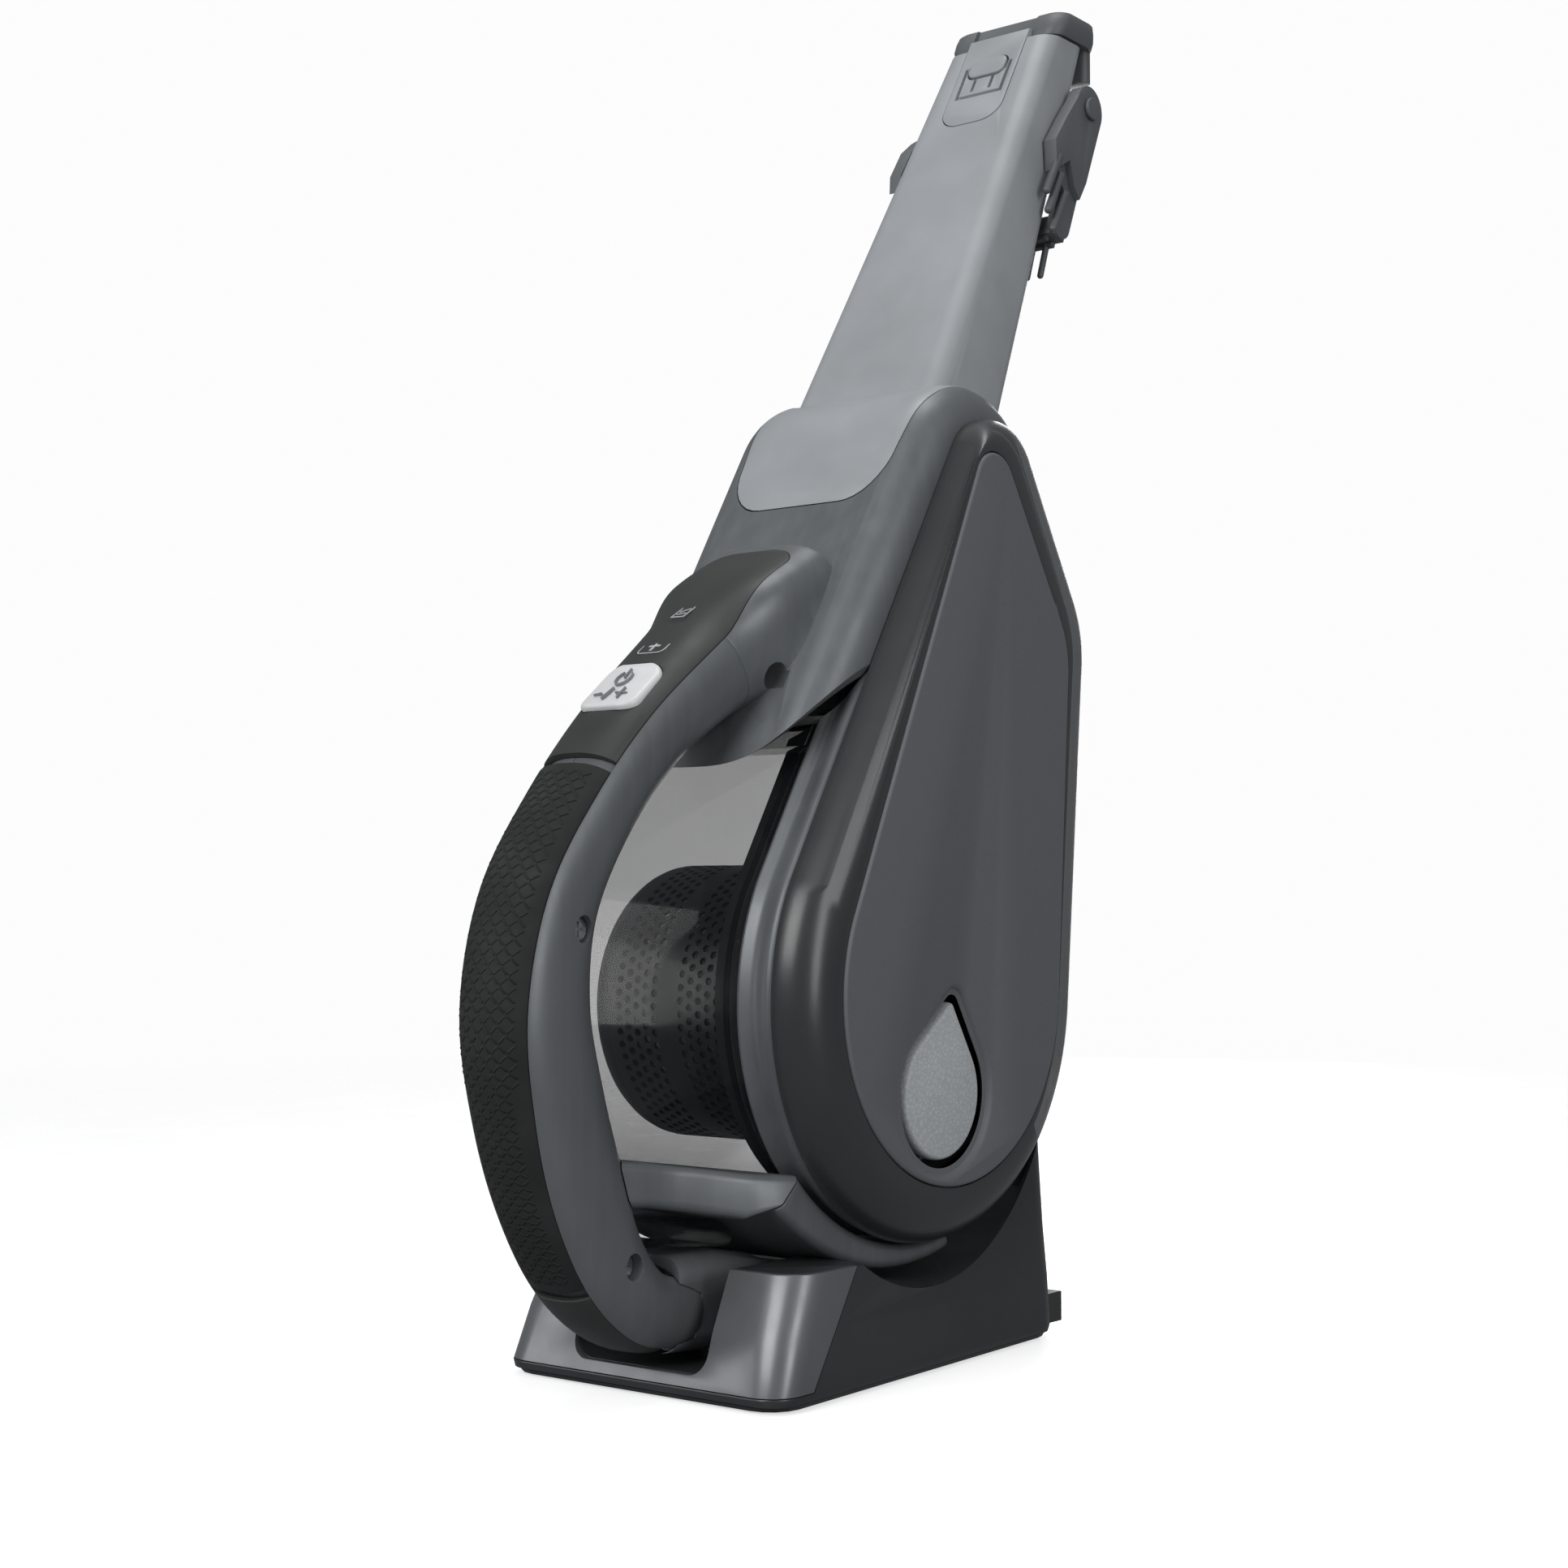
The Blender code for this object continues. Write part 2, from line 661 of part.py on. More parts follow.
def half_section(side):
    def section(depth, half, grip):
        start = 0.12
        points = []
        for x in spread(start, grip, 4):
            points.append((x, section_u(x, depth, half) - SKIN))
        top = math.acos(min(1.0, (grip / half) ** 1.25))
        low = math.acos(min(1.0, (LINER_HALF / half) ** 1.25))
        for angle in spread(top, -low, 8):
            x = half * abs(math.cos(angle)) ** 0.8
            u = math.copysign(depth * abs(math.sin(angle)) ** 0.8, math.sin(angle))
            points.append((x, u))
        for x in spread(LINER_HALF, start, 3):
            points.append((x, -(section_u(x, depth, half) - SKIN)))
        return [(side * x, u) for x, u in points]

    return section


def crescent(sign, width=None, over=0.0, under=SKIN - 0.25):
    """A strip of the handle's own surface: width wide, or as wide as the grip."""

    def section(depth, half, grip):
        edge = (width or grip) - 0.25
        xs = spread(-edge, edge, 7)
        outer = [(x, sign * (section_u(x, depth, half) + over)) for x in xs]
        inner = [(x, sign * (section_u(x, depth, half) - under)) for x in reversed(xs)]
        return outer + inner

    return section


def full_section(grow, square=0.8):
    def section(depth, half, grip):
        points = []
        for k in range(28):
            t = 2 * math.pi * k / 28
            c, s = math.cos(t), math.sin(t)
            x = (half + grow) * math.copysign(abs(c) ** square, c)
            u = (depth + grow) * math.copysign(abs(s) ** square, s)
            points.append((x, u))
        return points

    return section


def make_fairing():
    """The saddle on the front of the housing that the top of the handle grows out of."""
    flared = []
    for k, share in enumerate(spread(1.0, 13.0, 7)):
        pos, outward, depth, half, grip = spine_at(share)
        flared.append((pos, outward, depth, half + 1.0 + 3.6 * (1.0 - k / 6.0) ** 2, grip))
    fairing = sweep("handle_fairing", flared, full_section(0.1, 0.62))
    cut(fairing, sweep("fairing_room", spine_part(PANEL_TOP, 30), full_section(0.35)))
    return fairing


def cell_axis(first, last):
    return spine_at(first)[0], spine_at(last)[0]


def make_handle(name, side):
    body = sweep(name, spine_part(PANEL_TOP + 0.5, 100), half_section(side), "housing_plastic")
    cut(body, hull_body("housing_room_" + name, room_stations()))
    for first, last in CELLS:
        cut(body, cylinder("cell_room", *cell_axis(first, last), 9.6, steps=20))
    return cut(body, button_body("button_well", 0.45, -BUTTON_WELL, 4.0))


def make_cell(name, first, last):
    start, end = cell_axis(first, last)
    along = (end - start).normalized()
    cell = cylinder(name, start + along * 0.5, end - along * 1.6, 9.1, "cell_wrap", steps=24)
    return add(cell, cylinder("cell_tip", end - along * 2.0, end - along * 0.5, 3.0, steps=16))


def room_stations():
    """The housing's outer shape grown by the gap, so that the handle stops at it."""
    return [(x * 1.01, c, g + GAP) for x, c, g in housing_stations(0.0)]


def make_panel():
    panel = sweep("control_panel", spine_part(PANEL_TOP + 0.5, PANEL_END), crescent(1), "panel_plastic")
    cut(panel, hull_body("housing_room_panel", room_stations()))
    cut(panel, button_body("button_room", 0.35, -4.0, 4.0))
    return panel


def button_body(name, grow, low, high, slot=None):
    """A rounded square lying in the handle's front face, from low to high above it."""
    pos, outward, depth, half, _ = spine_at(BUTTON_SHARE)
    tangent = Vector((0.0, -outward.z, outward.y))
    rings = []
    for level in (low, high - 0.8, high) if slot else (low, high):
        inset = 0.9 if slot and level == high else 0.0
        ring = []
        edge = BUTTON_HALF + grow - inset
        for x, t, _ in rounded_rect(-edge, edge, -edge, edge, 5.5 + grow - inset, 0.0, 4):
            u = section_u(x, depth, half) + level
            ring.append(tuple(pos + outward * u + tangent * t + Vector((x, 0.0, 0.0))))
        rings.append(ring)
    return loft(name, rings, slot)


def screw_recess(body, centre, floor_x, start_x=40.0, radius=3.9):
    ends = ((start_x, *centre), (floor_x, *centre))
    return cut(body, cylinder("recess", *ends, radius, steps=16))


def make_screw(name, centre, floor_x, radius=3.4):
    """A cross-head screw whose head rests just above the floor of its recess."""
    head_x = floor_x + 2.0
    head = cylinder(name, (head_x, *centre), (floor_x + 0.25, *centre), radius, "steel", steps=16)
    for turn in (0.0, 90.0):
        slot = box("cross", (-0.9, -0.45, -2.2), (1.2, 0.45, 2.2))
        slot.data.transform(Matrix.Rotation(math.radians(turn), 4, "X"))
        slot.data.transform(Matrix.Translation(Vector((head_x, *centre)) * MM))
        cut(head, slot)
    return head


# ---------------------------------------------------------------- drum
def make_bowl():
    outer = []
    inner = []
    radius = 12.0
    for k in range(5):
        t = math.radians(90.0 * k / 4)
        x = BOWL_END_X + radius - radius * math.cos(t)
        drop = radius - radius * math.sin(t)
        outer.append((x, OUTLINE, BOWL_GROW - drop))
        inner.append((x + BOWL_WALL, OUTLINE, BOWL_GROW - BOWL_WALL - drop))
    outer.append((BOWL_OPEN_X, OUTLINE, BOWL_GROW))
    inner.append((BOWL_OPEN_X + 5.0, OUTLINE, BOWL_GROW - BOWL_WALL))
    bowl = hull_body("bowl", outer, "smoked_plastic")
    cut(bowl, lip_block("lip_over_bowl", 0.8, None, 420.0, flat=True))
    hollow = hull_body("bowl_hollow", inner)
    cut(hollow, lip_block("lip_over_hollow", 0.8 + BOWL_WALL, None, 420.0, flat=True))
    cut(bowl, hollow)
    cut(bowl, box("bowl_inlet", (-12.5, 9.0, 190.0), (12.5, 41.0, 240.0)))
    return bowl


def make_shroud():
    """The fixed wedge that fills the space between the bowl's level top and the lip."""
    shape = [(20.0, OUTLINE, BOWL_GROW), (BOWL_OPEN_X, OUTLINE, BOWL_GROW)]
    shroud = hull_body("drum_shroud", shape, "smoked_plastic")
    keep(shroud, lip_block("lip_under_shroud", 0.8, 0.0, None))
    return cut(shroud, lip_block("bowl_top", 0.4, 0.0, None, flat=True))


def make_drum_hoop():
    """The fixed grey band round the bulkhead, which the mouth of the bowl comes up against."""
    x0, x1 = HOOP_X
    shape = [(x0, OUTLINE, BOWL_GROW - 1.6), (x0 + 1.6, OUTLINE, BOWL_GROW)]
    shape.append((x1, OUTLINE, BOWL_GROW))
    hoop = hull_body("drum_hoop", shape, "dark_plastic")
    cut(hoop, lip_block("lip_over_hoop", 0.8, None, 420.0))
    grow = BOWL_GROW - HOOP_WALL
    bore = hull_body("hoop_bore", [(x0 - 5.0, OUTLINE, grow), (x1 + 5.0, OUTLINE, grow)])
    return cut(hoop, cut(bore, lip_block("lip_over_hoop_bore", 3.4, None, 420.0)))


def make_motor_housing():
    """The bulkhead that closes the whole mouth of the bowl, with the fan's room in it."""
    x0, x1 = MOTOR_HOUSING_X
    centre = (DRUM_Y, DRUM_Z)
    stations = [(x0, OUTLINE, BULKHEAD_GROW - 3.0), (x0 + 3.0, OUTLINE, BULKHEAD_GROW)]
    stations.append((x1, OUTLINE, BULKHEAD_GROW))
    body = hull_body("motor_housing", stations, "dark_plastic")
    cut(body, lip_block("lip_over_bulkhead", BULKHEAD_DROP, None, 420.0, flat=True))
    grow = BULKHEAD_GROW - BULKHEAD_WALL
    pocket = hull_body("pocket", [(x0 + 3.0, OUTLINE, grow), (x1 + 5.0, OUTLINE, grow)])
    cut(pocket, lip_block("lip_over_pocket", BULKHEAD_DROP + BULKHEAD_WALL, None, 420.0, flat=True))
    boss_r = FAN_CAVITY_R + BULKHEAD_WALL
    cut(body, cut(pocket, turned("fan_boss", centre, [(x0 - 5.0, boss_r), (x1 + 9.0, boss_r)])))
    cut(body, turned("fan_room", centre, [(x0 + 5.0, FAN_CAVITY_R), (x1 + 5, FAN_CAVITY_R)]))
    cut(body, turned("fan_eye", centre, [(x0 - 5.0, 19.0), (x0 + 8.0, 19.0)]))
    return body


def make_impeller():
    centre = (DRUM_Y, DRUM_Z)
    x = MOTOR_HOUSING_X[0] + 6.0
    fan = turned("impeller", centre, [(x + 6.0, IMPELLER_R), (x + 7.6, IMPELLER_R)], "light_plastic", 32)
    add(fan, turned("hub", centre, [(x, 9.0), (x + 7.0, 12.0)], "light_plastic", 20))
    for k in range(7):
        blade = box("blade", (x + 1.0, 7.0, -0.7), (x + 6.6, IMPELLER_R - 1.0, 0.7), "light_plastic")
        blade.data.transform(Matrix.Rotation(math.radians(18.0), 4, "X"))
        blade.data.transform(Matrix.Rotation(2 * math.pi * k / 7, 4, "X"))
        blade.data.transform(Matrix.Translation(Vector((0.0, DRUM_Y, DRUM_Z)) * MM))
        add(fan, blade)
    add(fan, turned("shaft", centre, [(x + 7.0, 2.0), (x + 10.0, 2.0)], "light_plastic", 12))
    put_origin(fan, (x, *centre))
    return fan


def make_motor():
    centre = (DRUM_Y, DRUM_Z)
    x = MOTOR_HOUSING_X[0] + 6.0
    profile = [(x + 10.5, 15.0), (x + 11.5, 17.0), (x + 21.5, 17.0), (x + 22.5, 15.5)]
    motor = turned("motor", centre, profile, "steel", 28)
    cut(motor, turned("shaft_room", centre, [(x + 5.0, 3.0), (x + 13.0, 3.0)], steps=16))
    return motor


def make_motor_carrier():
    centre = (DRUM_Y, DRUM_Z)
    x = MOTOR_HOUSING_X[0] + 6.0
    ring = turned("motor_carrier", centre, [(x + 11.0, 51.4), (x + 14.2, 51.4)], "dark_plastic", 32)
    cut(ring, turned("carrier_bore", centre, [(x + 5.0, 17.5), (x + 20.0, 17.5)], steps=24))
    for k in range(6):
        t = math.radians(60.0 * k + 30.0)
        at = (DRUM_Y + 34.0 * math.cos(t), DRUM_Z + 34.0 * math.sin(t))
        cut(ring, turned("vent", at, [(x + 5.0, 10.5), (x + 20.0, 10.5)], steps=12))
    return ring


def make_filter_screen():
    profile = []
    for k in range(4):
        t = math.radians(90.0 * k / 3)
        profile.append((FILTER_END_X + 9.0 - 9.0 * math.cos(t), FILTER_R - 9.0 + 9.0 * math.sin(t)))
    profile.append((FILTER_PLATE_X - GAP, FILTER_R))
    screen = turned("filter_screen", FILTER_YZ, profile, "dark_plastic", 36)
    inner = [(x + 1.3, r - 1.3) for x, r in profile[:-1]] + [(FILTER_PLATE_X + 5.0, FILTER_R - 1.3)]
    cut(screen, turned("screen_inner", FILTER_YZ, inner, steps=36))
    return screen


def make_filter_plate():
    x = FILTER_PLATE_X
    centre = (DRUM_Y, DRUM_Z)
    profile = [(x, FILTER_PLATE_R - 0.8), (x + 0.8, FILTER_PLATE_R), (x + 3.2, FILTER_PLATE_R)]
    plate = turned("filter_plate", centre, profile, "brush_plastic", 40)
    cut(plate, turned("plate_bore", centre, [(x - 5.0, 27.0), (x + 9.0, 27.0)], steps=32))
    return plate


def make_pleated_filter():
    inner_r = 26.0
    outer_r = 36.0
    x0, x1 = FILTER_END_X + 12.0, FILTER_PLATE_X - GAP
    rings = []
    for x in (x0, x1):
        ring = []
        for k in range(48):
            t = 2 * math.pi * k / 48
            r = outer_r if k % 2 else inner_r + 4.0
            ring.append((x, FILTER_YZ[0] + r * math.cos(t), FILTER_YZ[1] + r * math.sin(t)))
        rings.append(ring)
    body = loft("pleated_filter", rings, "filter_paper")
    cut(body, turned("filter_bore", FILTER_YZ, [(x0 + 6.0, 24.0), (x1 + 5.0, 24.0)], steps=28))
    return body


def make_bowl_seal():
    """A ring round the bulkhead's face that follows the bowl's own outline."""
    x = FILTER_PLATE_X
    ends = [(x, OUTLINE, SEAL_GROW - 1.4), (x + 4.2, OUTLINE, SEAL_GROW)]
    seal = hull_body("bowl_seal", ends, "grip_rubber")
    cut(seal, lip_block("lip_over_seal", BULKHEAD_DROP, None, 420.0, flat=True))
    bore_grow = SEAL_GROW - SEAL_WIDTH
    bore = hull_body("seal_bore", [(x - 5.0, OUTLINE, bore_grow), (x + 9.0, OUTLINE, bore_grow)])
    cut(bore, lip_block("lip_over_bore", BULKHEAD_DROP + SEAL_WIDTH, None, 420.0, flat=True))
    return cut(seal, bore)


# ---------------------------------------------------------------- lower frame
def drum_room(name, grow, x0=-80.0, x1=80.0):
    return hull_body(name, [(x0, OUTLINE, grow), (x1, OUTLINE, grow)])


def radial_ring(degrees, half, thick, flip=False):
    """A section of the strap under the drum, in the plane through the drum's axis."""
    t = math.radians(degrees)
    base = DRUM_R + GAP + 0.1
    ring = []
    for x, r, _ in rounded_rect(-half, half, base, base + thick, min(3.0, thick / 2.2), 0, 3):
        r = 2 * base + thick - r if flip else r
        ring.append((x, DRUM_Y + r * math.cos(t), DRUM_Z + r * math.sin(t)))
    return ring


def make_claw():
    """The strap under the drum that the arm runs into."""
    rings = []
    for k in range(8):
        share = k / 7.0
        rings.append(radial_ring(222.0 + 59.0 * share, 38.0 + 3.0 * share, 13.0 - 8.5 * share))
    return loft("cradle_claw", rings, "housing_plastic")


def arm_ring(y, half, low, high, radius):
    return [(x, y, z) for x, z, _ in rounded_rect(-half, half, low, high, radius, 0, 3)]


def make_arm():
    rings = [
        arm_ring(-101.0, 13.5, 57.0, 70.5, 3.0),
        arm_ring(-84.0, 15.0, 55.5, 68.5, 3.0),
        arm_ring(-72.0, 20.0, 53.5, 66.5, 3.0),
        arm_ring(-61.0, 31.0, 51.0, 64.5, 3.0),
        radial_ring(221.5, 38.0, 13.0, flip=True),
    ]
    arm = loft("lower_arm", rings, "housing_plastic")
    cut(arm, sweep("handle_room_arm", spine_part(50, 100), full_section(GAP)))
    return arm


def make_heel():
    rings = [
        arm_ring(-70.0, 13.0, 12.0, 40.0, 6.0),
        arm_ring(-52.0, 15.0, 11.0, 40.0, 7.0),
        arm_ring(-30.0, 16.0, 11.5, 36.5, 7.0),
        arm_ring(-8.0, 15.0, 14.0, 30.0, 6.0),
        arm_ring(4.0, 12.0, 17.0, 26.0, 4.0),
    ]
    heel = loft("dock_heel", rings, "housing_plastic")
    cut(heel, sweep("handle_room_heel", spine_part(84, 100), full_section(GAP)))
    cut(heel, drum_room("drum_room_heel", 14.0))
    screw_recess(heel, HEEL_SCREW[:2], HEEL_SCREW[2])
    for side in (-1, 1):
        cut(heel, box("contact_room", *contact_box(side, 9.0, 13.0, 0.25)))
    return heel


def contact_box(side, low, high, grow=0.0):
    x0, x1 = sorted((side * (5.0 - grow), side * (9.0 + grow)))
    return (x0, -34.0 - grow, low), (x1, -24.0 + grow, high)


def make_arm_trim():
    rings = [
        arm_ring(-77.0, 9.0, 43.0, 50.5, 3.0),
        arm_ring(-60.0, 12.0, 41.5, 50.0, 3.0),
        arm_ring(-46.0, 13.0, 40.5, 48.5, 3.0),
    ]
    trim = loft("arm_trim", rings, "smoked_plastic")
    cut(trim, drum_room("drum_room_trim", 14.0))
    cut(trim, sweep("handle_room_trim", spine_part(50, 100), full_section(GAP)))
    return trim


# ---------------------------------------------------------------- stand
def stand_loft(name, inset=0.0, slot=None, grow_top=0.0, steps=3):
    rings = []
    for k, (z, front, rear, half_front, half_rear) in enumerate(STAND):
        radius = 9.0 + 1.5 * k - inset
        wide = half_front - inset
        ring = []
        for x, y, _ in rounded_rect(-wide, wide, front + inset, rear - inset, radius, z, steps):
            share = (y - front) / (rear - front)
            ring.append((x * (1.0 + (half_rear / half_front - 1.0) * share), y, z))
        rings.append(ring)
    if inset:
        rings[0] = [(x, y, -5.0) for x, y, _ in rings[0]]
    return loft(name, rings, slot)


def cradle_room(name, grow):
    profile = [(-80.0, *CRADLE[0]), *CRADLE_NARROW, (80.0, *CRADLE_NARROW[-1][1:])]
    rings = []
    for x, y, z, r in profile:
        ring = []
        for k in range(48):
            t = 2 * math.pi * k / 48
            ring.append((x, y + (r + grow) * math.cos(t), z + (r + grow) * math.sin(t)))
        rings.append(ring)
    return loft(name, rings)


def heel_room(name, grow):
    floor = RECESS_FLOOR - grow
    rings = [
        arm_ring(-100.0, 26.0 + grow, floor, 90.0, 6.0),
        arm_ring(12.0 + grow, 24.0 + grow, floor, 90.0, 6.0),
    ]
    return loft(name, rings)


def stand_front(name, grow):
    return box(name, (-70.0, -100.0, STAND_FRONT_TOP - grow), (70.0, -24.0, 120.0))


def fascia_room(name, grow):
    """The slanted block in front of the seam on the stand's sides."""
    ring = [(-100.0, 4.8 - grow), (-59.0 + grow, 4.8 - grow), (-34.5 + grow, 36.9), (-100.0, 36.9)]
    return loft(name, [[(x, y, z) for y, z in ring] for x in (-70.0, 70.0)])


def make_stand_body():
    stand = stand_loft("stand_body", 0.0, "dark_plastic", steps=4)
    hollow = stand_loft("stand_hollow", STAND_WALL + 2.4)
    for cutter in (cradle_room, heel_room, stand_front):
        cut(stand, cutter("room", 0.0))
        cut(hollow, cutter("room", STAND_WALL + 0.6))
    cut(stand, hollow)
    outer = stand_loft("stand_skin", -1.0)
    cut(outer, stand_loft("stand_core", STAND_WALL + 0.3))
    keep(outer, fascia_room("fascia_gap", 0.25))
    cut(stand, outer)
    cut(stand, box("inlet_room", *inlet_box(0.25)))
    for side in (-1, 1):
        cut(stand, box("contact_room", *contact_box(side, 4.0, 12.0, 0.25)))
    return stand


def make_fascia():
    fascia = stand_loft("stand_fascia", 0.0, "housing_plastic", steps=4)
    cut(fascia, stand_loft("fascia_core", STAND_WALL))
    keep(fascia, fascia_room("fascia_keep", 0.0))
    cut(fascia, heel_room("fascia_recess", 0.0))
    return fascia


def inlet_box(grow=0.0):
    return (24.0 - grow, 66.0, 2.9 - grow), (42.0 + grow, 92.0, 12.6 + grow)


def make_dc_inlet():
    inlet = box("dc_inlet", *inlet_box(), "dark_plastic")
    start, end = (33.0, 76.0, 8.2), (33.0, 99.0, 8.2)
    cut(inlet, cylinder("inlet_bore", start, end, 3.0, steps=20))
    pin = cylinder("inlet_pin", (33.0, 75.0, 8.2), (33.0, 88.0, 8.2), 0.9, steps=12)
    return add(inlet, pin)


def base_ring(z, inset):
    ring = []
    _, front, rear, half_front, half_rear = STAND[0]
    args = (-half_front + inset, half_front - inset, front + inset, rear - inset, 10.0)
    for x, y, _ in rounded_rect(*args, z, 4):
        share = (y - front) / (rear - front)
        ring.append((x * (1.0 + (half_rear / half_front - 1.0) * share), y, z))
    return ring


FOOT_SPOTS = {
    "front_left": (-38.0, -58.0),
    "front_right": (38.0, -58.0),
    "rear_left": (-34.0, 66.0),
    "rear_right": (34.0, 62.0),
}


def make_base_plate():
    plate = loft("stand_base_plate", [base_ring(0.7, 1.2), base_ring(1.9, 0.6)], "dark_plastic")
    for x, y in FOOT_SPOTS.values():
        cut(plate, cylinder("foot_room", (x, y, -1.0), (x, y, 5.0), 6.3, steps=20))
    return plate


def make_feet():
    for name, (x, y) in FOOT_SPOTS.items():
        cylinder("foot_" + name, (x, y, 0.0), (x, y, 1.9), 6.0, "grip_rubber", steps=20)


# ---------------------------------------------------------------- air way
def make_inlet_duct():
    bodies = []
    for grow, name, slot in ((0.0, "inlet_duct", "dark_plastic"), (-1.8, "duct_bore", None)):
        top = rounded_rect(-27.0 - grow, 27.0 + grow, 16.0 - grow, 54.0 + grow, 6.0, 261.4, 3)
        low = []
        args = (-15.5 - grow, 15.5 + grow, 7.0 - grow, 43.0 + grow, 4.0, 0.0, 3)
        for x, y, _ in rounded_rect(*args):
            low.append((x, y, LIP_Z + LIP_SLOPE * (y - LIP_Y) + 1.6))
        rings = [low, top]
        if grow:
            rings = [[(x, y, z - 20.0) for x, y, z in low], low, top]
            rings.append([(x, y, z + 10.0) for x, y, z in top])
        bodies.append(loft(name, rings, slot))
    return cut(*bodies)


def make_inlet_flap():
    """The flap under the bowl's inlet, hinged along its rear edge."""
    rings = []
    for drop in (3.6, 5.0):
        ring = []
        for x, y, _ in rounded_rect(-13.8, 13.8, 7.0, 43.0, 3.0, 0.0, 3):
            ring.append((x, y, lip_height(0.0, y) - drop))
        rings.append(ring)
    flap = loft("inlet_flap", rings, "grip_rubber")
    put_origin(flap, (0.0, 43.0, lip_height(0.0, 43.0) - 4.3))
    return flap


def make_vacuum_head():
    make_upper_housing()
    make_exhaust_grille()
    make_side_cover()
    make_side_plate()
    make_release_button()
    make_nozzle()
    make_inlet_duct()
    make_crevice_tool()
    make_latch_plate()
    button = latch_button_body("latch_button", 0.0, (-1.0, 1.4), "light_plastic")
    put_origin(button, face_point(0.0, -11.5, 0.0))
    make_brush()
    make_brush_pin("brush_pin_right", 1)
    make_brush_pin("brush_pin_left", -1)
    make_bristles("bristle_row_outer", 2.2, 0.0, 14.0)
    make_bristles("bristle_row_inner", -2.2, 2.75, 12.5)
    make_side_bristles("bristle_side_right", 1)
    make_side_bristles("bristle_side_left", -1)


def make_grip():
    right = make_handle("handle_right", 1)
    make_handle("handle_left", -1)
    for k, (y, z, floor_x) in enumerate(HANDLE_SCREWS):
        screw_recess(right, (y, z), floor_x)
        make_screw("handle_screw_" + "abc"[k], (y, z), floor_x)
    make_cell("battery_cell_upper", *CELLS[0])
    make_cell("battery_cell_lower", *CELLS[1])
    sweep("grip_overmould", spine_part(GRIP_START, 81), crescent(1), "grip_rubber")
    make_panel()
    power = button_body("power_button", 0.0, -0.75, 1.1, "white_plastic")
    pos, outward, depth, _, _ = spine_at(BUTTON_SHARE)
    put_origin(power, pos + outward * depth)
    sweep("grip_end_cap", spine_part(82, 95), crescent(1), "dark_plastic")
    sweep("handle_liner", spine_part(20, 80), crescent(-1, LINER_HALF), "dark_plastic")


def make_drum():
    make_bowl()
    make_shroud()
    make_drum_hoop()
    make_inlet_flap()
    make_motor_housing()
    make_impeller()
    make_motor()
    make_motor_carrier()
    make_filter_screen()
    make_filter_plate()
    make_pleated_filter()
    make_bowl_seal()


def make_lower_frame():
    make_claw()
    make_arm()
    make_arm_trim()
    heel = make_heel()
    y, z, floor_x = HEEL_SCREW
    make_screw("heel_screw", (y, z), floor_x)
    for side, tag in ((-1, "left"), (1, "right")):
        box("heel_contact_" + tag, *contact_box(side, 10.4, 12.7), "steel")
    return heel


def make_stand():
    make_stand_body()
    make_fascia()
    make_base_plate()
    make_feet()
    make_dc_inlet()
    for side, tag in ((-1, "left"), (1, "right")):
        box("dock_contact_" + tag, *contact_box(side, 6.0, 9.4), "steel")


def main():
    make_vacuum_head()
    make_grip()
    make_drum()
    make_lower_frame()
    make_stand()


main()
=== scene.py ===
"""The finished look of a cordless hand vacuum in its charging stand.

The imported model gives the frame: every piece here rides on one of its bodies. Lengths in the
shape code are millimetres and become metres when a mesh is made. +Z is up, the handle faces -Y,
the motor side faces +X and the bowl comes off towards -X.
"""

import json
import math

import bmesh
import bpy
from mathutils import Matrix, Vector


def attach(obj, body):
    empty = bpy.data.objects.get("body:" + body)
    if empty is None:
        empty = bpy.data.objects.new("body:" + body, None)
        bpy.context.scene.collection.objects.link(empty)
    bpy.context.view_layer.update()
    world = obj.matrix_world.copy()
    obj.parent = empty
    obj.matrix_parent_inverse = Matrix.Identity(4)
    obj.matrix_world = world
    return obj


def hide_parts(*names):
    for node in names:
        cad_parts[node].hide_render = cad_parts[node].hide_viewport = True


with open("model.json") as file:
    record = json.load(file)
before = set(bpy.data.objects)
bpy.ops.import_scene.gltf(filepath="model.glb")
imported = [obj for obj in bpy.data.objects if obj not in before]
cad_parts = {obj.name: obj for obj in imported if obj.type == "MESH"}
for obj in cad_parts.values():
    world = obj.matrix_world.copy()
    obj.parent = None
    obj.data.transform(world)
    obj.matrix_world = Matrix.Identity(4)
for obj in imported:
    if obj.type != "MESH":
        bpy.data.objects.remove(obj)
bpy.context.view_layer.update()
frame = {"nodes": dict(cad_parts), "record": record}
NODE_BODY = {n: b for b, names in frame["record"]["behaviour"]["bodies"].items() for n in names}
NODE_SLOT = {s["node"]: s["material_slot"] for s in frame["record"]["subparts"]}

MM = 0.001
GAP = 0.4
BELOW = 0.0
ABOVE = 420.0
SMOOTH_ANGLE = 38.0
SOFT_ANGLE = 50.0
RING = 132
GRID = 104

# Side outlines as the hull of three circles (y, z, radius): drum, rear shoulder, apex.
OUTLINE = [(11.0, 113.0, 75.0), (62.0, 226.0, 36.0), (48.0, 276.0, 22.0)]
PLATE = [(11.0, 114.3, 58.5), (46.5, 218.0, 30.0), (33.0, 273.0, 11.0)]
RELEASE = [(4.0, 84.0, 21.5), (9.0, 110.0, 3.5)]
DRUM_Y, DRUM_Z, DRUM_R = OUTLINE[0]
POD_X = 41.5
POD_FACE_X = 55.0
SHELL_WALL = 2.4
HOUSING_GROW = 13.0
HOUSING_FLAT_X = 28.0
LIP_Y = -46.0
LIP_Z = 184.0
LIP_SLOPE = 0.335
LIP_RISE = 20.0

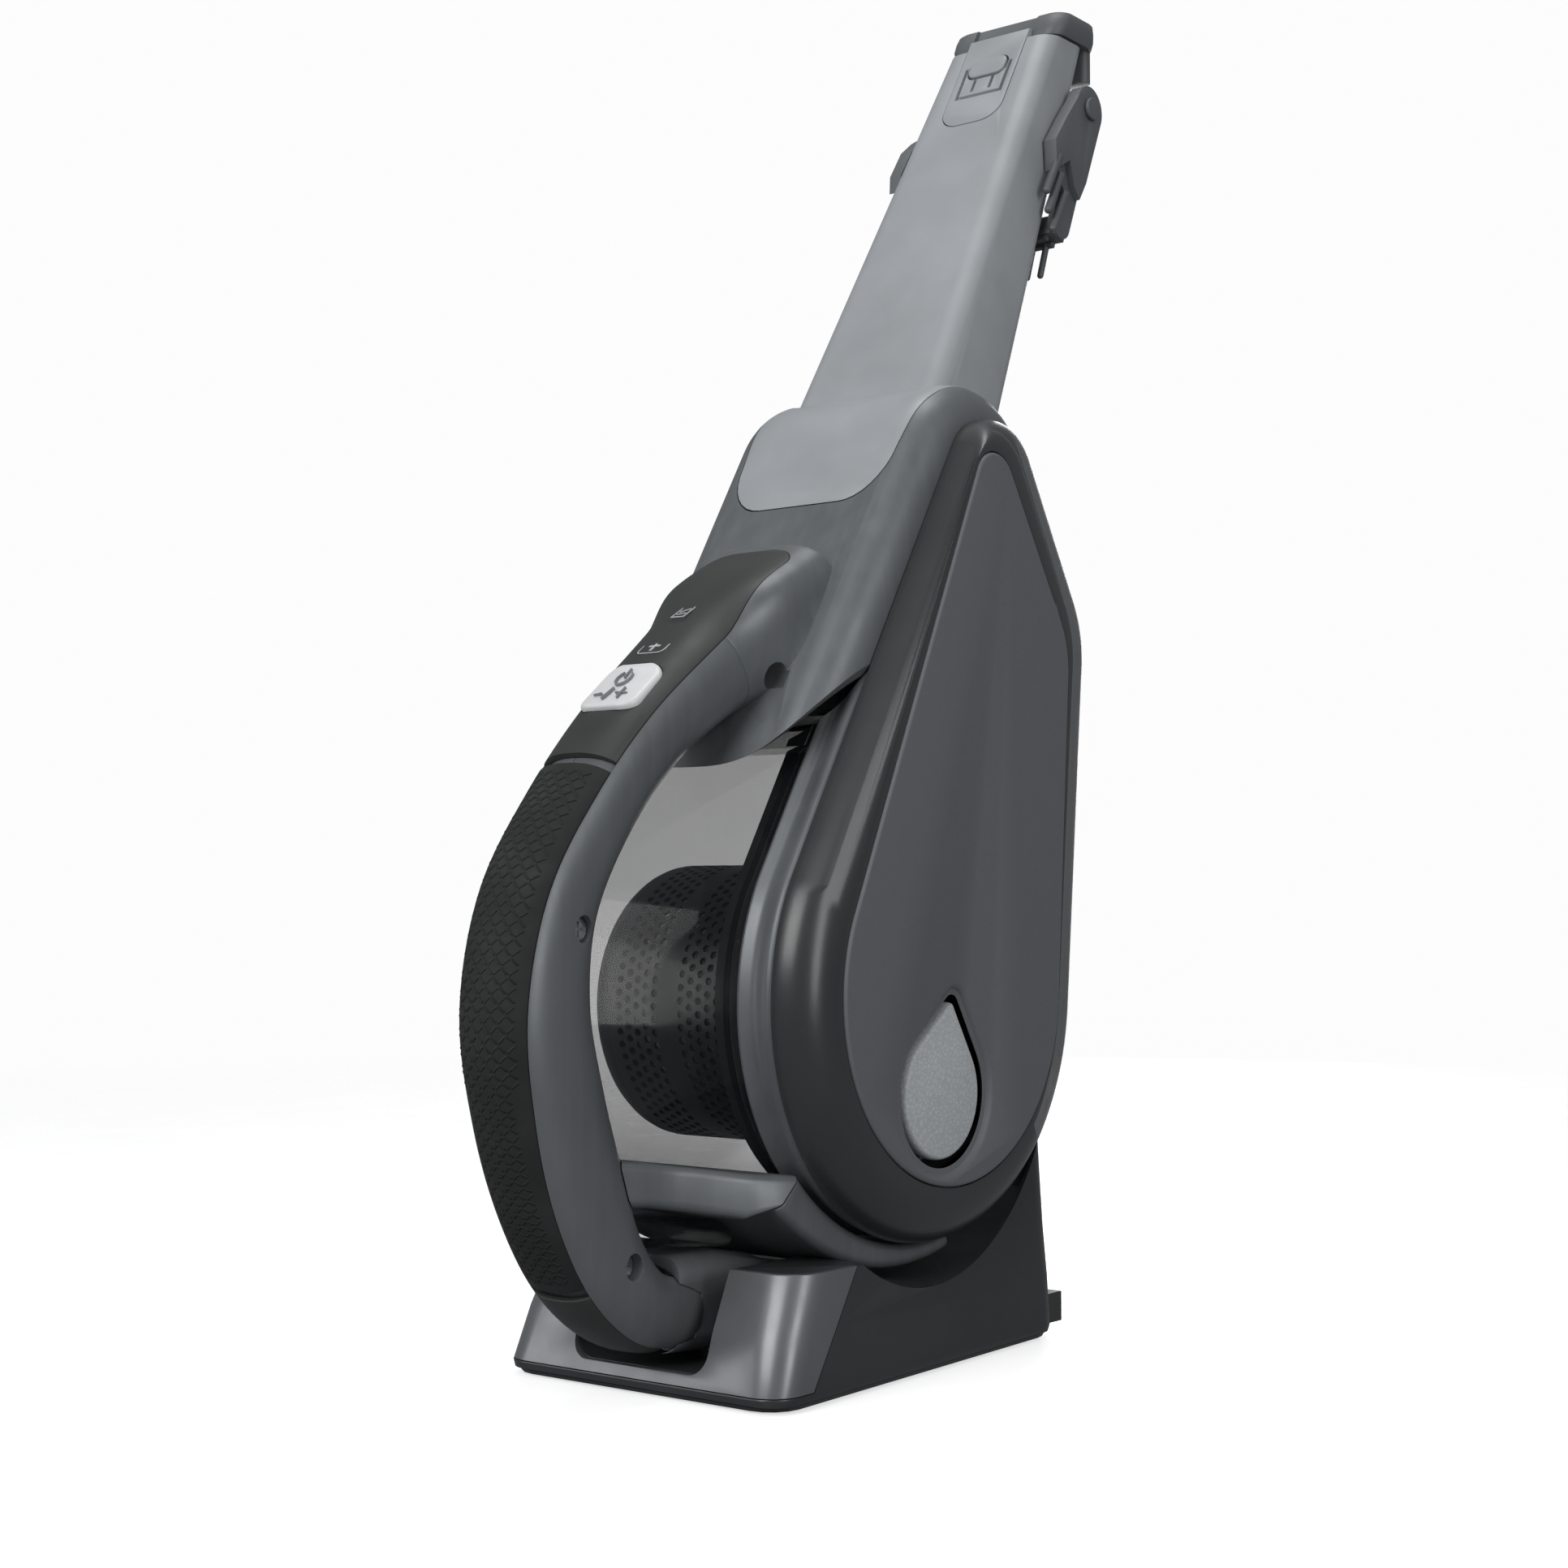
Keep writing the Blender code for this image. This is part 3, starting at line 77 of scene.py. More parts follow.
BOWL_END_X = -57.0
BOWL_OPEN_X = 27.2
BOWL_GROW = -1.0
BOWL_WALL = 2.2
FILTER_Y = 4.0
FILTER_Z = 110.0
FILTER_R = 44.0
FILTER_END_X = -52.0
FILTER_PLATE_X = 14.5
FILTER_PLATE_R = 62.0
HOLE_PITCH = 4.1
BULKHEAD_DROP = 3.8
PANEL_TOP = 1.7
PANEL_CORNER = 10.0
PAD_END = 17.0
PAD_BLEND = 9.0
PAD_WIDEN = 4.0
PAD_SQUARE = 1.1
SECTION_POWER = 2.5
# Millimetres along the handle's curve for each share of a hundred.
SHARE_MM = 3.3
DASH_HALF = 0.4
DASH_HEIGHT = 0.24
DASH_TAPER = 0.72
# The grey band's section: a bead at the bowl's side, a shallow groove and a soft swell.
HOOP_SHAPE = [(27.6, -2.4), (28.1, -1.5), (29.2, -1.0), (30.4, -1.3), (31.8, -2.2), (33.6, -2.5)]
HOOP_SHAPE += [(35.4, -2.0), (37.2, -1.2), (38.8, -0.9), (40.1, -1.3), (40.9, -2.2)]

NOZZLE_TIP_Z = 451.5
NOZZLE_REF_Z = 307.0
NOZZLE_FRONT = (36.5, 0.583)
NOZZLE_REAR = (79.0, 0.4637)
NOZZLE_HALF_ROOT = 30.0
NOZZLE_HALF_TIP = 22.5
COLLAR_LOW_Z = 268.5
TOOL_DIR = Vector((0.0, 0.5037, 0.8639))
TOOL_LENGTH = 96.0
BRUSH_PIVOT = (134.0, 425.0)
BRUSH_REACH = 49.0
BRUSH_EYE = 8.3
BRUSH_ARM = (-0.3344, -0.9424)

BUTTON_SHARE = 25.5
BUTTON_HALF = 10.8
HANDLE_SCREWS = [(-35.2, 210.4, 12.0), (-113.7, 135.0, 11.2), (-92.5, 40.2, 10.0)]
HEEL_SCREW = (-28.5, 29.5, 9.0)
LINER_HALF = 10.5
SKIN = 2.2
# Handle spine from inside the housing to the heel: (y, z, half depth, half width, grip half width).
SPINE = [
    (-6.0, 236.0, 20.0, 21.5, 18.0),
    (-29.0, 223.6, 19.5, 21.0, 18.0),
    (-51.7, 210.2, 15.5, 18.8, 16.4),
    (-78.4, 190.3, 13.4, 17.0, 14.8),
    (-99.9, 167.2, 13.2, 16.4, 14.0),
    (-115.9, 141.4, 15.2, 16.0, 13.5),
    (-120.6, 112.6, 17.6, 16.0, 13.0),
    (-115.3, 85.9, 18.6, 16.0, 12.2),
    (-106.7, 62.1, 18.2, 16.0, 11.4),
    (-95.7, 41.0, 15.5, 16.0, 11.0),
    (-80.5, 27.0, 13.0, 15.5, 10.6),
    (-62.0, 23.0, 12.0, 14.5, 10.2),
]
# Stand plan at each height: (z, front y, rear y, half width in front, half width behind).
STAND = [
    (2.2, -74.8, 81.0, 53.2, 47.2),
    (4.2, -75.6, 82.0, 54.0, 47.9),
    (20.0, -70.2, 82.0, 52.9, 47.6),
    (36.5, -62.5, 81.5, 51.4, 47.0),
    (73.0, -42.0, 80.5, 49.0, 46.0),
]
STAND_WALL = 2.4
STAND_FRONT_TOP = 36.8
CRADLE = [(-80.0, 9.0, 105.0, 78.0), (43.0, 9.0, 105.0, 78.0)]
CRADLE += [(50.0, 5.0, 93.0, 67.0), (80.0, 5.0, 93.0, 67.0)]
RECESS_FLOOR = 8.0
LIGHT_AIM = Vector((0.0, 0.0, 0.2))


# ---- mesh helpers
def object_from(bm):
    bmesh.ops.remove_doubles(bm, verts=bm.verts, dist=0.00001)
    bmesh.ops.recalc_face_normals(bm, faces=bm.faces)
    mesh = bpy.data.meshes.new("shape")
    bm.to_mesh(mesh)
    bm.free()
    obj = bpy.data.objects.new("shape", mesh)
    bpy.context.scene.collection.objects.link(obj)
    return obj


def turn(count):
    return [2 * math.pi * k / count for k in range(count)]


def wrap(bm, rings):
    """Closed faces through rings of (x, y, z) points, with a flat cap at each end."""
    rows = [[bm.verts.new(Vector(p) * MM) for p in ring] for ring in rings]
    count = len(rows[0])
    for low, high in zip(rows, rows[1:]):
        for k in range(count):
            j = (k + 1) % count
            bm.faces.new((low[k], low[j], high[j], high[k]))
    bm.faces.new(rows[0])
    bm.faces.new(rows[-1])


def loft(rings):
    bm = bmesh.new()
    wrap(bm, rings)
    return object_from(bm)


def box(low, high):
    (x0, y0, z0), (x1, y1, z1) = low, high
    return loft([[(x0, y0, z), (x1, y0, z), (x1, y1, z), (x0, y1, z)] for z in (z0, z1)])


def tube(start, end, radius, steps=40, round_end=False):
    """A rod from start to end; its far end can be domed."""
    start, end = Vector(start), Vector(end)
    along = (end - start).normalized()
    side = along.orthogonal().normalized()
    other = along.cross(side)
    stations = [(start, radius), (end, radius)]
    if round_end:
        stations = [(start, radius)]
        for k in range(5):
            t = math.radians(84.0 * k / 4)
            stations.append((end - along * radius * (1.0 - math.sin(t)), radius * math.cos(t)))
    rings = []
    for centre, r in stations:
        places = [(r * math.cos(t), r * math.sin(t)) for t in turn(steps)]
        rings.append([tuple(centre + side * a + other * b) for a, b in places])
    return loft(rings)


def turned(centre, profile, steps=120):
    """A body turned about an axis along X through centre (y, z), from (x, radius) pairs."""
    rings = []
    for x, r in profile:
        rings.append([(x, centre[0] + r * math.cos(t), centre[1] + r * math.sin(t)) for t in turn(steps)])
    return loft(rings)


def apply_modifiers(obj):
    graph = bpy.context.evaluated_depsgraph_get()
    mesh = bpy.data.meshes.new_from_object(obj.evaluated_get(graph))
    obj.modifiers.clear()
    obj.data = mesh
    return obj


def boolean(obj, other, operation):
    mod = obj.modifiers.new(operation.lower(), "BOOLEAN")
    mod.operation = operation
    mod.solver = "EXACT"
    mod.object = other
    apply_modifiers(obj)
    bpy.data.objects.remove(other, do_unlink=True)
    return obj


def cut(obj, *others):
    for other in others:
        boolean(obj, other, "DIFFERENCE")
    return obj


def add(obj, *others):
    for other in others:
        boolean(obj, other, "UNION")
    return obj


def keep(obj, other):
    return boolean(obj, other, "INTERSECT")


def round_edges(obj, width, segments, angle):
    mod = obj.modifiers.new("round", "BEVEL")
    mod.width = width * MM
    mod.segments = segments
    mod.limit_method = "ANGLE"
    mod.angle_limit = math.radians(angle)
    mod.use_clamp_overlap = True
    mod.harden_normals = False
    apply_modifiers(obj)


def shade(obj, material, angle):
    obj.data.shade_smooth()
    obj.data.set_sharp_from_angle(angle=math.radians(angle))
    obj.data.materials.clear()
    obj.data.materials.append(material)


def finish_piece(obj, node, bevel, angle=SMOOTH_ANGLE):
    """Rounds the edges, shades it smooth and puts it in the place of its CAD node."""
    obj.name = "look_" + node
    if bevel:
        round_edges(obj, bevel, 3, angle)
    shade(obj, OWN_LOOKS.get(node) or LOOKS[NODE_SLOT[node]], angle)
    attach(obj, NODE_BODY[node])
    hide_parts(node)


def detail(obj, name, like, material, bevel=0.0):
    """A small extra piece, such as a printed symbol, that moves with a node's body."""
    obj.name = "look_" + name
    if bevel:
        round_edges(obj, bevel, 2, 30.0)
    shade(obj, material, SMOOTH_ANGLE)
    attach(obj, NODE_BODY[like])


# ---- materials
class Look:
    """A material's node tree, with the few nodes that all the looks here share."""

    def __init__(self, name):
        self.mat = bpy.data.materials.new(name)
        self.mat.use_nodes = True
        self.tree = self.mat.node_tree
        self.shader = self.tree.nodes["Principled BSDF"]
        self.place = self.node("ShaderNodeTexCoord").outputs["Object"]

    def node(self, kind, **values):
        made = self.tree.nodes.new(kind)
        for key, value in values.items():
            if hasattr(made, key):
                setattr(made, key, value)
            else:
                made.inputs[key.replace("_", " ")].default_value = value
        return made

    def link(self, source, target):
        self.tree.links.new(source, target)

    def feed(self, socket, source):
        self.link(source, self.shader.inputs[socket])

    def noise(self, scale, detail=4.0, stretch=None):
        """Noise through the piece; stretch makes it finer along one axis than another."""
        noise = self.node("ShaderNodeTexNoise")
        noise.inputs["Scale"].default_value = scale
        noise.inputs["Detail"].default_value = detail
        source = self.place
        if stretch:
            mapping = self.node("ShaderNodeMapping")
            mapping.inputs["Scale"].default_value = stretch
            self.link(self.place, mapping.inputs["Vector"])
            source = mapping.outputs["Vector"]
        self.link(source, noise.inputs["Vector"])
        return noise.outputs["Fac"]

    def spread(self, source, low, high, start=0.3, end=0.7):
        """Turns a 0 to 1 value into one between low and high."""
        ranged = self.node("ShaderNodeMapRange")
        for key, value in (("From Min", start), ("From Max", end), ("To Min", low), ("To Max", high)):
            ranged.inputs[key].default_value = value
        self.link(source, ranged.inputs["Value"])
        return ranged.outputs["Result"]

    def mix(self, share, first, second):
        mixed = self.node("ShaderNodeMix", data_type="RGBA")
        self.link(share, mixed.inputs[0])
        for socket, value in ((mixed.inputs[6], first), (mixed.inputs[7], second)):
            if isinstance(value, tuple):
                socket.default_value = (*value, 1.0)
            else:
                self.link(value, socket)
        return mixed.outputs[2]

    def bumps(self, *layers):
        """Stacks (height source, strength, distance in mm) on each other and into the shader."""
        below = None
        for source, strength, distance in layers:
            bump = self.node("ShaderNodeBump")
            bump.inputs["Strength"].default_value = strength
            bump.inputs["Distance"].default_value = distance * MM
            self.link(source, bump.inputs["Height"])
            if below:
                self.link(below, bump.inputs["Normal"])
            below = bump.outputs["Normal"]
        self.feed("Normal", below)

    def worn(self, colour, lighter, share=0.35):
        """Edges rubbed lighter, more in some places than in others."""
        edge = self.spread(self.node("ShaderNodeNewGeometry").outputs["Pointiness"], 0.0, share, 0.52, 0.6)
        patchy = self.node("ShaderNodeMath", operation="MULTIPLY")
        self.link(edge, patchy.inputs[0])
        self.link(self.spread(self.noise(60.0), 0.2, 1.0), patchy.inputs[1])
        return self.mix(patchy.outputs[0], colour, lighter)

    def set(self, **sockets):
        for key, value in sockets.items():
            self.shader.inputs[key.replace("_", " ")].default_value = value
        return self


def tinted(colour, share, plus=0.0):
    return tuple(min(1.0, share * c + plus) for c in colour)


def moulded(name, colour, rough, grain=2200.0, depth=0.35, metal=0.0, streaks=0.0, coat=0.0):
    """Moulded plastic: cloudy colour, spark-eroded grain, uneven gloss and rubbed edges."""
    look = Look(name)
    dark = tinted(colour, 0.9)
    light = tinted(colour, 1.1)
    cloudy = look.mix(look.spread(look.noise(26.0), 0.0, 1.0), dark, light)
    if streaks:
        fine = look.noise(240.0, 6.0, stretch=(1.0, 1.0, 0.02))
        pale = tinted(light, 1.0 + streaks)
        cloudy = look.mix(look.spread(fine, 0.0, 0.8, 0.4, 0.75), cloudy, pale)
    rubbed = tinted(colour, 1.5, 0.02)
    look.feed("Base Color", look.worn(cloudy, rubbed))
    gloss = look.spread(look.noise(90.0, 6.0), rough - 0.05, rough + 0.06)
    look.feed("Roughness", gloss)
    look.bumps((look.noise(38.0, 2.0), 0.05, 0.3), (look.noise(grain, 2.0), depth, 0.03))
    return look.set(Metallic=metal, Coat_Weight=coat, Coat_Roughness=0.12).mat


def leather_grain(name, colour, rough, cell=700.0, depth=0.5):
    """Moulded plastic with a pebbled leather grain."""
    look = Look(name)
    pebbles = look.node("ShaderNodeTexVoronoi", feature="DISTANCE_TO_EDGE")
    pebbles.inputs["Scale"].default_value = cell
    look.link(look.place, pebbles.inputs["Vector"])
    valley = look.spread(pebbles.outputs["Distance"], 0.0, 1.0, 0.0, 0.22)
    low = tinted(colour, 0.82)
    shade = look.mix(valley, low, colour)
    look.feed("Base Color", look.worn(shade, tinted(colour, 1.3)))
    look.feed("Roughness", look.spread(look.noise(120.0), rough - 0.05, rough + 0.07))
    look.bumps((valley, depth, 0.06), (look.noise(3000.0), 0.2, 0.02))
    return look.mat


def smoked_clear(name, colour, see_through, rough=0.05):
    """Clear smoked plastic: nearly clear face on, darker and glossier at a glance."""
    look = Look(name)
    tint = look.mix(look.spread(look.noise(12.0), 0.0, 1.0), tinted(colour, 0.8), colour)
    look.feed("Base Color", tint)
    glance = look.node("ShaderNodeLayerWeight")
    glance.inputs["Blend"].default_value = 0.35
    solid = look.spread(glance.outputs["Facing"], 1.0 - see_through, 0.93, 0.12, 0.95)
    look.feed("Alpha", solid)
    look.feed("Roughness", look.spread(look.noise(70.0, 5.0), rough, rough + 0.06))
    look.set(Coat_Weight=0.6, Coat_Roughness=0.8 * rough, IOR=1.5)
    return look.mat


def soft_rubber(name, colour):
    look = Look(name)
    dust = look.spread(look.noise(55.0, 7.0), 0.0, 1.0, 0.42, 0.72)
    dusty = look.mix(dust, colour, tinted(colour, 1.5))
    look.feed("Base Color", dusty)
    look.feed("Roughness", look.spread(look.noise(160.0), 0.62, 0.8))
    look.bumps((look.noise(1800.0, 3.0), 0.3, 0.03),)
    return look.set(Specular_IOR_Level=0.22, Sheen_Weight=0.02, Sheen_Roughness=0.5).mat


def brushed_metal(name, colour, rough):
    look = Look(name)
    lines = look.noise(500.0, 4.0, stretch=(1.0, 0.04, 1.0))
    tone = look.mix(look.spread(lines, 0.0, 1.0), tinted(colour, 0.8), colour)
    look.feed("Base Color", tone)
    look.feed("Roughness", look.spread(lines, rough - 0.08, rough + 0.1))
    look.bumps((lines, 0.15, 0.02),)
    return look.set(Metallic=1.0).mat


def fibre_paper(name, colour):
    look = Look(name)
    fibres = look.noise(900.0, 8.0, stretch=(1.0, 0.3, 1.0))
    tone = look.mix(look.spread(fibres, 0.0, 1.0), tinted(colour, 0.75), colour)
    look.feed("Base Color", tone)
    look.feed("Roughness", look.spread(fibres, 0.85, 0.98))
    look.bumps((fibres, 0.6, 0.08),)
    return look.mat


LOOKS = {
    "housing_grey": moulded("housing_grey", (0.15, 0.16, 0.168), 0.4, metal=0.3, streaks=0.06),
    "nozzle_grey": moulded("nozzle_grey", (0.33, 0.348, 0.364), 0.42, depth=0.25),
    "tool_grey": moulded("tool_grey", (0.12, 0.128, 0.134), 0.46, depth=0.4),
    "bristle": moulded("bristle", (0.1, 0.107, 0.112), 0.4),
    "smoked": smoked_clear("smoked", (0.016, 0.018, 0.02), 0.86),
    "plate_grey": leather_grain("plate_grey", (0.15, 0.16, 0.168), 0.46, cell=2600.0, depth=0.22),
    "panel_black": moulded("panel_black", (0.034, 0.037, 0.035), 0.5, depth=0.2),
    "grip_rubber": soft_rubber("grip_rubber", (0.021, 0.023, 0.023)),
    "button_white": moulded("button_white", (0.72, 0.73, 0.74), 0.34, depth=0.1),
    "drum_black": moulded("drum_black", (0.018, 0.02, 0.022), 0.34, depth=0.3),
    "impeller_grey": moulded("impeller_grey", (0.3, 0.31, 0.32), 0.45),
    "steel": brushed_metal("steel", (0.56, 0.57, 0.58), 0.3),
    "filter_paper": fibre_paper("filter_paper", (0.6, 0.59, 0.55)),
    "cell_wrap": moulded("cell_wrap", (0.03, 0.12, 0.3), 0.4, coat=0.3),
}
GLOSS_BLACK = moulded("gloss_black", (0.012, 0.014, 0.015), 0.12, depth=0.05, coat=0.8)
# Pieces whose look isn't their slot's.
OWN_LOOKS = {
    "side_cover": smoked_clear("smoked_cover", (0.05, 0.054, 0.057), 0.26, rough=0.3),
    "release_button": leather_grain("release_grain", (0.56, 0.585, 0.6), 0.5, cell=620.0, depth=0.6),
    # The stand's body is the same grey plastic as its fascia. Its darker colour here is painted shade for
    # the stand's shaded sides.
    "stand_body": moulded("stand_body", (0.05, 0.053, 0.056), 0.34, metal=0.35, depth=0.2),
    "stand_fascia": moulded("stand_front", (0.17, 0.178, 0.186), 0.32, metal=0.4, depth=0.15, coat=0.15),
    "drum_shroud": GLOSS_BLACK,
    "motor_housing": GLOSS_BLACK,
}
GRIP_DASH = moulded("grip_dash", (0.003, 0.0033, 0.0033), 0.75, depth=0.05)
PRINT = moulded("print_grey", (0.42, 0.44, 0.45), 0.5, depth=0.05)
BUTTON_MARK = moulded("button_mark", (0.2, 0.21, 0.22), 0.5, depth=0.05)


# ---- outlines
def hull_ring(circles, grow):
    """Points (y, z) on the hull of the circles, one for each outward direction."""
    points = []
    for k in range(RING):
        t = 2 * math.pi * (k + 0.5) / RING
        n = (math.cos(t), math.sin(t))
        y, z, r = max(circles, key=lambda c: c[0] * n[0] + c[1] * n[1] + c[2])
        points.append((y + (r + grow) * n[0], z + (r + grow) * n[1]))
    return points


def hull_body(stations):
    rings = []
    for x, circles, grow in stations:
        rings.append([(x, y, z) for y, z in hull_ring(circles, grow)])
    return loft(rings)


def drum_body(stations):
    """A body with the drum's outline, from (x, how much larger)."""
    return hull_body([(x, OUTLINE, grow) for x, grow in stations])


def between(first, second, t):
    return [tuple(a + (b - a) * t for a, b in zip(p, q)) for p, q in zip(first, second)]


def spaced(first, last, count):
    return [first + (last - first) * k / (count - 1) for k in range(count)]


def quarter(count):
    return [math.radians(90.0 * k / (count - 1)) for k in range(count)]


def rounded_rect(x0, x1, y0, y1, radius, z, steps=8):
    points = []
    for cx, cy, start in ((x1, y1, 0), (x0, y1, 90), (x0, y0, 180), (x1, y0, 270)):
        px = cx - radius if cx == x1 else cx + radius
        py = cy - radius if cy == y1 else cy + radius
        for t in [math.radians(start + 90.0 * k / steps) for k in range(steps + 1)]:
            points.append((px + radius * math.cos(t), py + radius * math.sin(t), z))
    return points


def lip_height(x, y, flat=False):
    """Height of the housing's lower lip at a place in plan."""
    share = 0.0 if flat and x > 0.0 else min(abs(x), POD_X) / POD_X
    return LIP_Z + LIP_SLOPE * (y - LIP_Y) + LIP_RISE * share**3


def lip_block(drop, far, flat=False):
    """The space between a height far off and the lip. Flat is the bowl's own level top."""
    xs = [-70.0] + spaced(-POD_X, POD_X, 41) + [70.0]
    rings = []
    for y in (-110.0, 160.0):
        edge = [(x, y, lip_height(x, y, flat) - drop) for x in xs]
        rings.append(edge + [(70.0, y, far), (-70.0, y, far)])
    return loft(rings)


def housing_stations(inset):
    half = []
    for t in reversed(quarter(13)):
        x = HOUSING_FLAT_X + (POD_X - GAP / 2 - inset - HOUSING_FLAT_X) * math.cos(t)
        half.append((x, OUTLINE, HOUSING_GROW * math.sin(t) - inset))
    return [(-x, c, g) for x, c, g in reversed(half)] + half


# ---- handle curve
def spine_samples():
    """Sections on a smooth curve through the spine."""
    out = []
    last = len(SPINE) - 1
    for k in range(GRID + 1):
        t = last * k / GRID
        i = min(int(t), last - 1)
        f = t - i
        p = [Vector(SPINE[max(0, min(last, i + j))]) for j in (-1, 0, 1, 2)]
        if i == 0:
            p[0] = 2 * p[1] - p[2]
        if i == last - 1:
            p[3] = 2 * p[2] - p[1]
        b = p[2] - p[0]
        c = 2 * p[0] - 5 * p[1] + 4 * p[2] - p[3]
        d = 3 * p[1] - p[0] - 3 * p[2] + p[3]
        at = 0.5 * (2 * p[1] + b * f + c * f * f + d * f**3)
        along = 0.5 * (b + 2 * c * f + 3 * d * f * f)
        tangent = Vector((0.0, along[0], along[1])).normalized()
        outward = Vector((0.0, tangent.z, -tangent.y))
        out.append((Vector((0.0, at[0], at[1])), outward, at[2], at[3], at[4]))
    return out


SAMPLES = spine_samples()


def spine_at(share):
    t = share * GRID / 100.0
    i = min(int(t), GRID - 1)
    return tuple(a + (b - a) * (t - i) for a, b in zip(SAMPLES[i], SAMPLES[i + 1]))


def spine_part(first, last):
    step = 100.0 / GRID
    inside = [k * step for k in range(GRID + 1) if first + 0.3 < k * step < last - 0.3]
    return [spine_at(share) for share in [first] + inside + [last]]


def section_u(x, depth, half):
    return depth * (1.0 - min(1.0, abs(x) / half) ** SECTION_POWER) ** (1.0 / SECTION_POWER)


def sweep(samples, section):
    rings = []
    for pos, outward, depth, half, grip in samples:
        ring = section(depth, half, grip)
        rings.append([tuple(pos + outward * u + Vector((x, 0, 0))) for x, u in ring])
    return loft(rings)


def half_section(side):
    """One half of the handle, set back under the panel, the grip and the liner."""

    def section(depth, half, grip):
        start = 0.12
        points = [(x, section_u(x, depth, half) - SKIN) for x in spaced(start, grip, 7)]
        top = math.acos(min(1.0, (grip / half) ** 1.25))
        low = math.acos(min(1.0, (LINER_HALF / half) ** 1.25))
        for angle in spaced(top, -low, 26):
            x = half * abs(math.cos(angle)) ** 0.8
            points.append((x, math.copysign(depth * abs(math.sin(angle)) ** 0.8, math.sin(angle))))
        points += [(x, SKIN - section_u(x, depth, half)) for x in spaced(LINER_HALF, start, 5)]
        return [(side * x, u) for x, u in points]

    return section


def crescent(sign, width=None):
    """A strip of the handle's own surface: width wide, or as wide as the grip."""

    def section(depth, half, grip):
        edge = (width or grip) - 0.25
        xs = spaced(-edge, edge, 25)
        outer = [(x, sign * section_u(x, depth, half)) for x in xs]
        inner = [(x, sign * (section_u(x, depth, half) - SKIN + 0.25)) for x in reversed(xs)]
        return outer + inner

    return section


def power_ring(wide, deep, power, steps):
    """A ring between an ellipse and a rectangle, from (x, u) places; power 1 is the ellipse."""
    places = [(math.cos(t), math.sin(t)) for t in turn(steps)]
    bend = [(math.copysign(abs(c) ** power, c), math.copysign(abs(u) ** power, u)) for c, u in places]
    return [(wide * c, deep * u) for c, u in bend]


def full_section(depth, half, grip):
    return power_ring(half + GAP, depth + GAP, 0.8, 72)


def on_grip(share, x, lift):
    """A point on the handle's front face, lift above its surface."""
    pos, outward, depth, half, _ = spine_at(share)
    return pos + outward * (section_u(x, depth, half) + lift) + Vector((x, 0.0, 0.0))


# ---- head
def collar_prism(grow, depth):
    """The tongue outline of the collar, run from the front through to depth in Y."""
    outline = [(33.5 + grow, 330.0), (33.5 + grow, 306.0), (32.6 + grow, 299.0)]
    for t in quarter(9):
        outline.append((16.0 + grow + 15.0 * math.cos(t), COLLAR_LOW_Z - grow + 17.0 * (1 - math.sin(t))))
    ring = outline + [(-x, z) for x, z in reversed(outline)]
    return loft([[(x, y, z) for x, z in ring] for y in (-60.0, depth)])


def nozzle_body(grow, z_low, z_high):
    rings = []
    for z in spaced(z_low, z_high, 5):
        front = NOZZLE_FRONT[0] + (z - NOZZLE_REF_Z) * NOZZLE_FRONT[1]
        rear = NOZZLE_REAR[0] + (z - NOZZLE_REF_Z) * NOZZLE_REAR[1]
        share = (z - NOZZLE_REF_Z) / (NOZZLE_TIP_Z - NOZZLE_REF_Z)
        half = NOZZLE_HALF_ROOT + (NOZZLE_HALF_TIP - NOZZLE_HALF_ROOT) * share
        args = (-half - grow, half + grow, front - grow, rear + grow, 7.0 + grow)
        rings.append(rounded_rect(*args, z))
    return loft(rings)


def face_point(x, s, d):
    """A point on the nozzle's front face, s up from the tip and d into the nozzle."""
    front = NOZZLE_FRONT[0] + (NOZZLE_TIP_Z - NOZZLE_REF_Z) * NOZZLE_FRONT[1]
    inward = Vector((0.0, TOOL_DIR.z, -TOOL_DIR.y))
    return tuple(Vector((x, front, NOZZLE_TIP_Z)) + TOOL_DIR * s + inward * d)


def face_shape(outline, near, far):
    """An outline of (x, s) on the nozzle's front face, from near to far into it."""
    return loft([[face_point(x, s, d) for x, s in outline] for d in (near, far)])


def latch_outline(grow):
    """The U-shaped tongue at the tip."""
    half, length, corner = 12.5 + grow, 39.0 + grow, 8.0
    side = [(half, 30.0)]
    for t in quarter(8):
        side.append((half - corner + corner * math.cos(t), -length + corner - corner * math.sin(t)))
    return side + [(-x, s) for x, s in reversed(side)]


def pad_share(share):
    """How far the handle's section has turned into the broad pad on the housing, from 0 to 1."""
    t = min(1.0, max(0.0, (PAD_END - share) / PAD_BLEND))
    return t * t * (3.0 - 2.0 * t)


def pad_section(share):
    """Half depth, half width and power of the handle's section, as the pad changes them."""
    _, _, depth, half, _ = spine_at(share)
    return depth, half + PAD_WIDEN * pad_share(share), SECTION_POWER + PAD_SQUARE * pad_share(share)


def pad_ring(share, grow):
    depth, side, power = pad_section(share)
    return placed(share, power_ring(side + grow, depth + grow, 2.0 / power, 88))


def placed(share, ring):
    pos, outward, _, _, _ = spine_at(share)
    return [tuple(pos + outward * u + Vector((x, 0.0, 0.0))) for x, u in ring]


def strip(share, wide, low, high):
    """A strip of the pad's front, from low under its surface to high above it."""
    depth, side, power = pad_section(share)
    xs = spaced(-wide, wide, 27)
    front = [depth * (1.0 - min(1.0, abs(x) / side) ** power) ** (1.0 / power) for x in xs]
    outer = [(x, u + high) for x, u in zip(xs, front)]
    return placed(share, outer + [(x, u - low) for x, u in reversed(list(zip(xs, front)))])


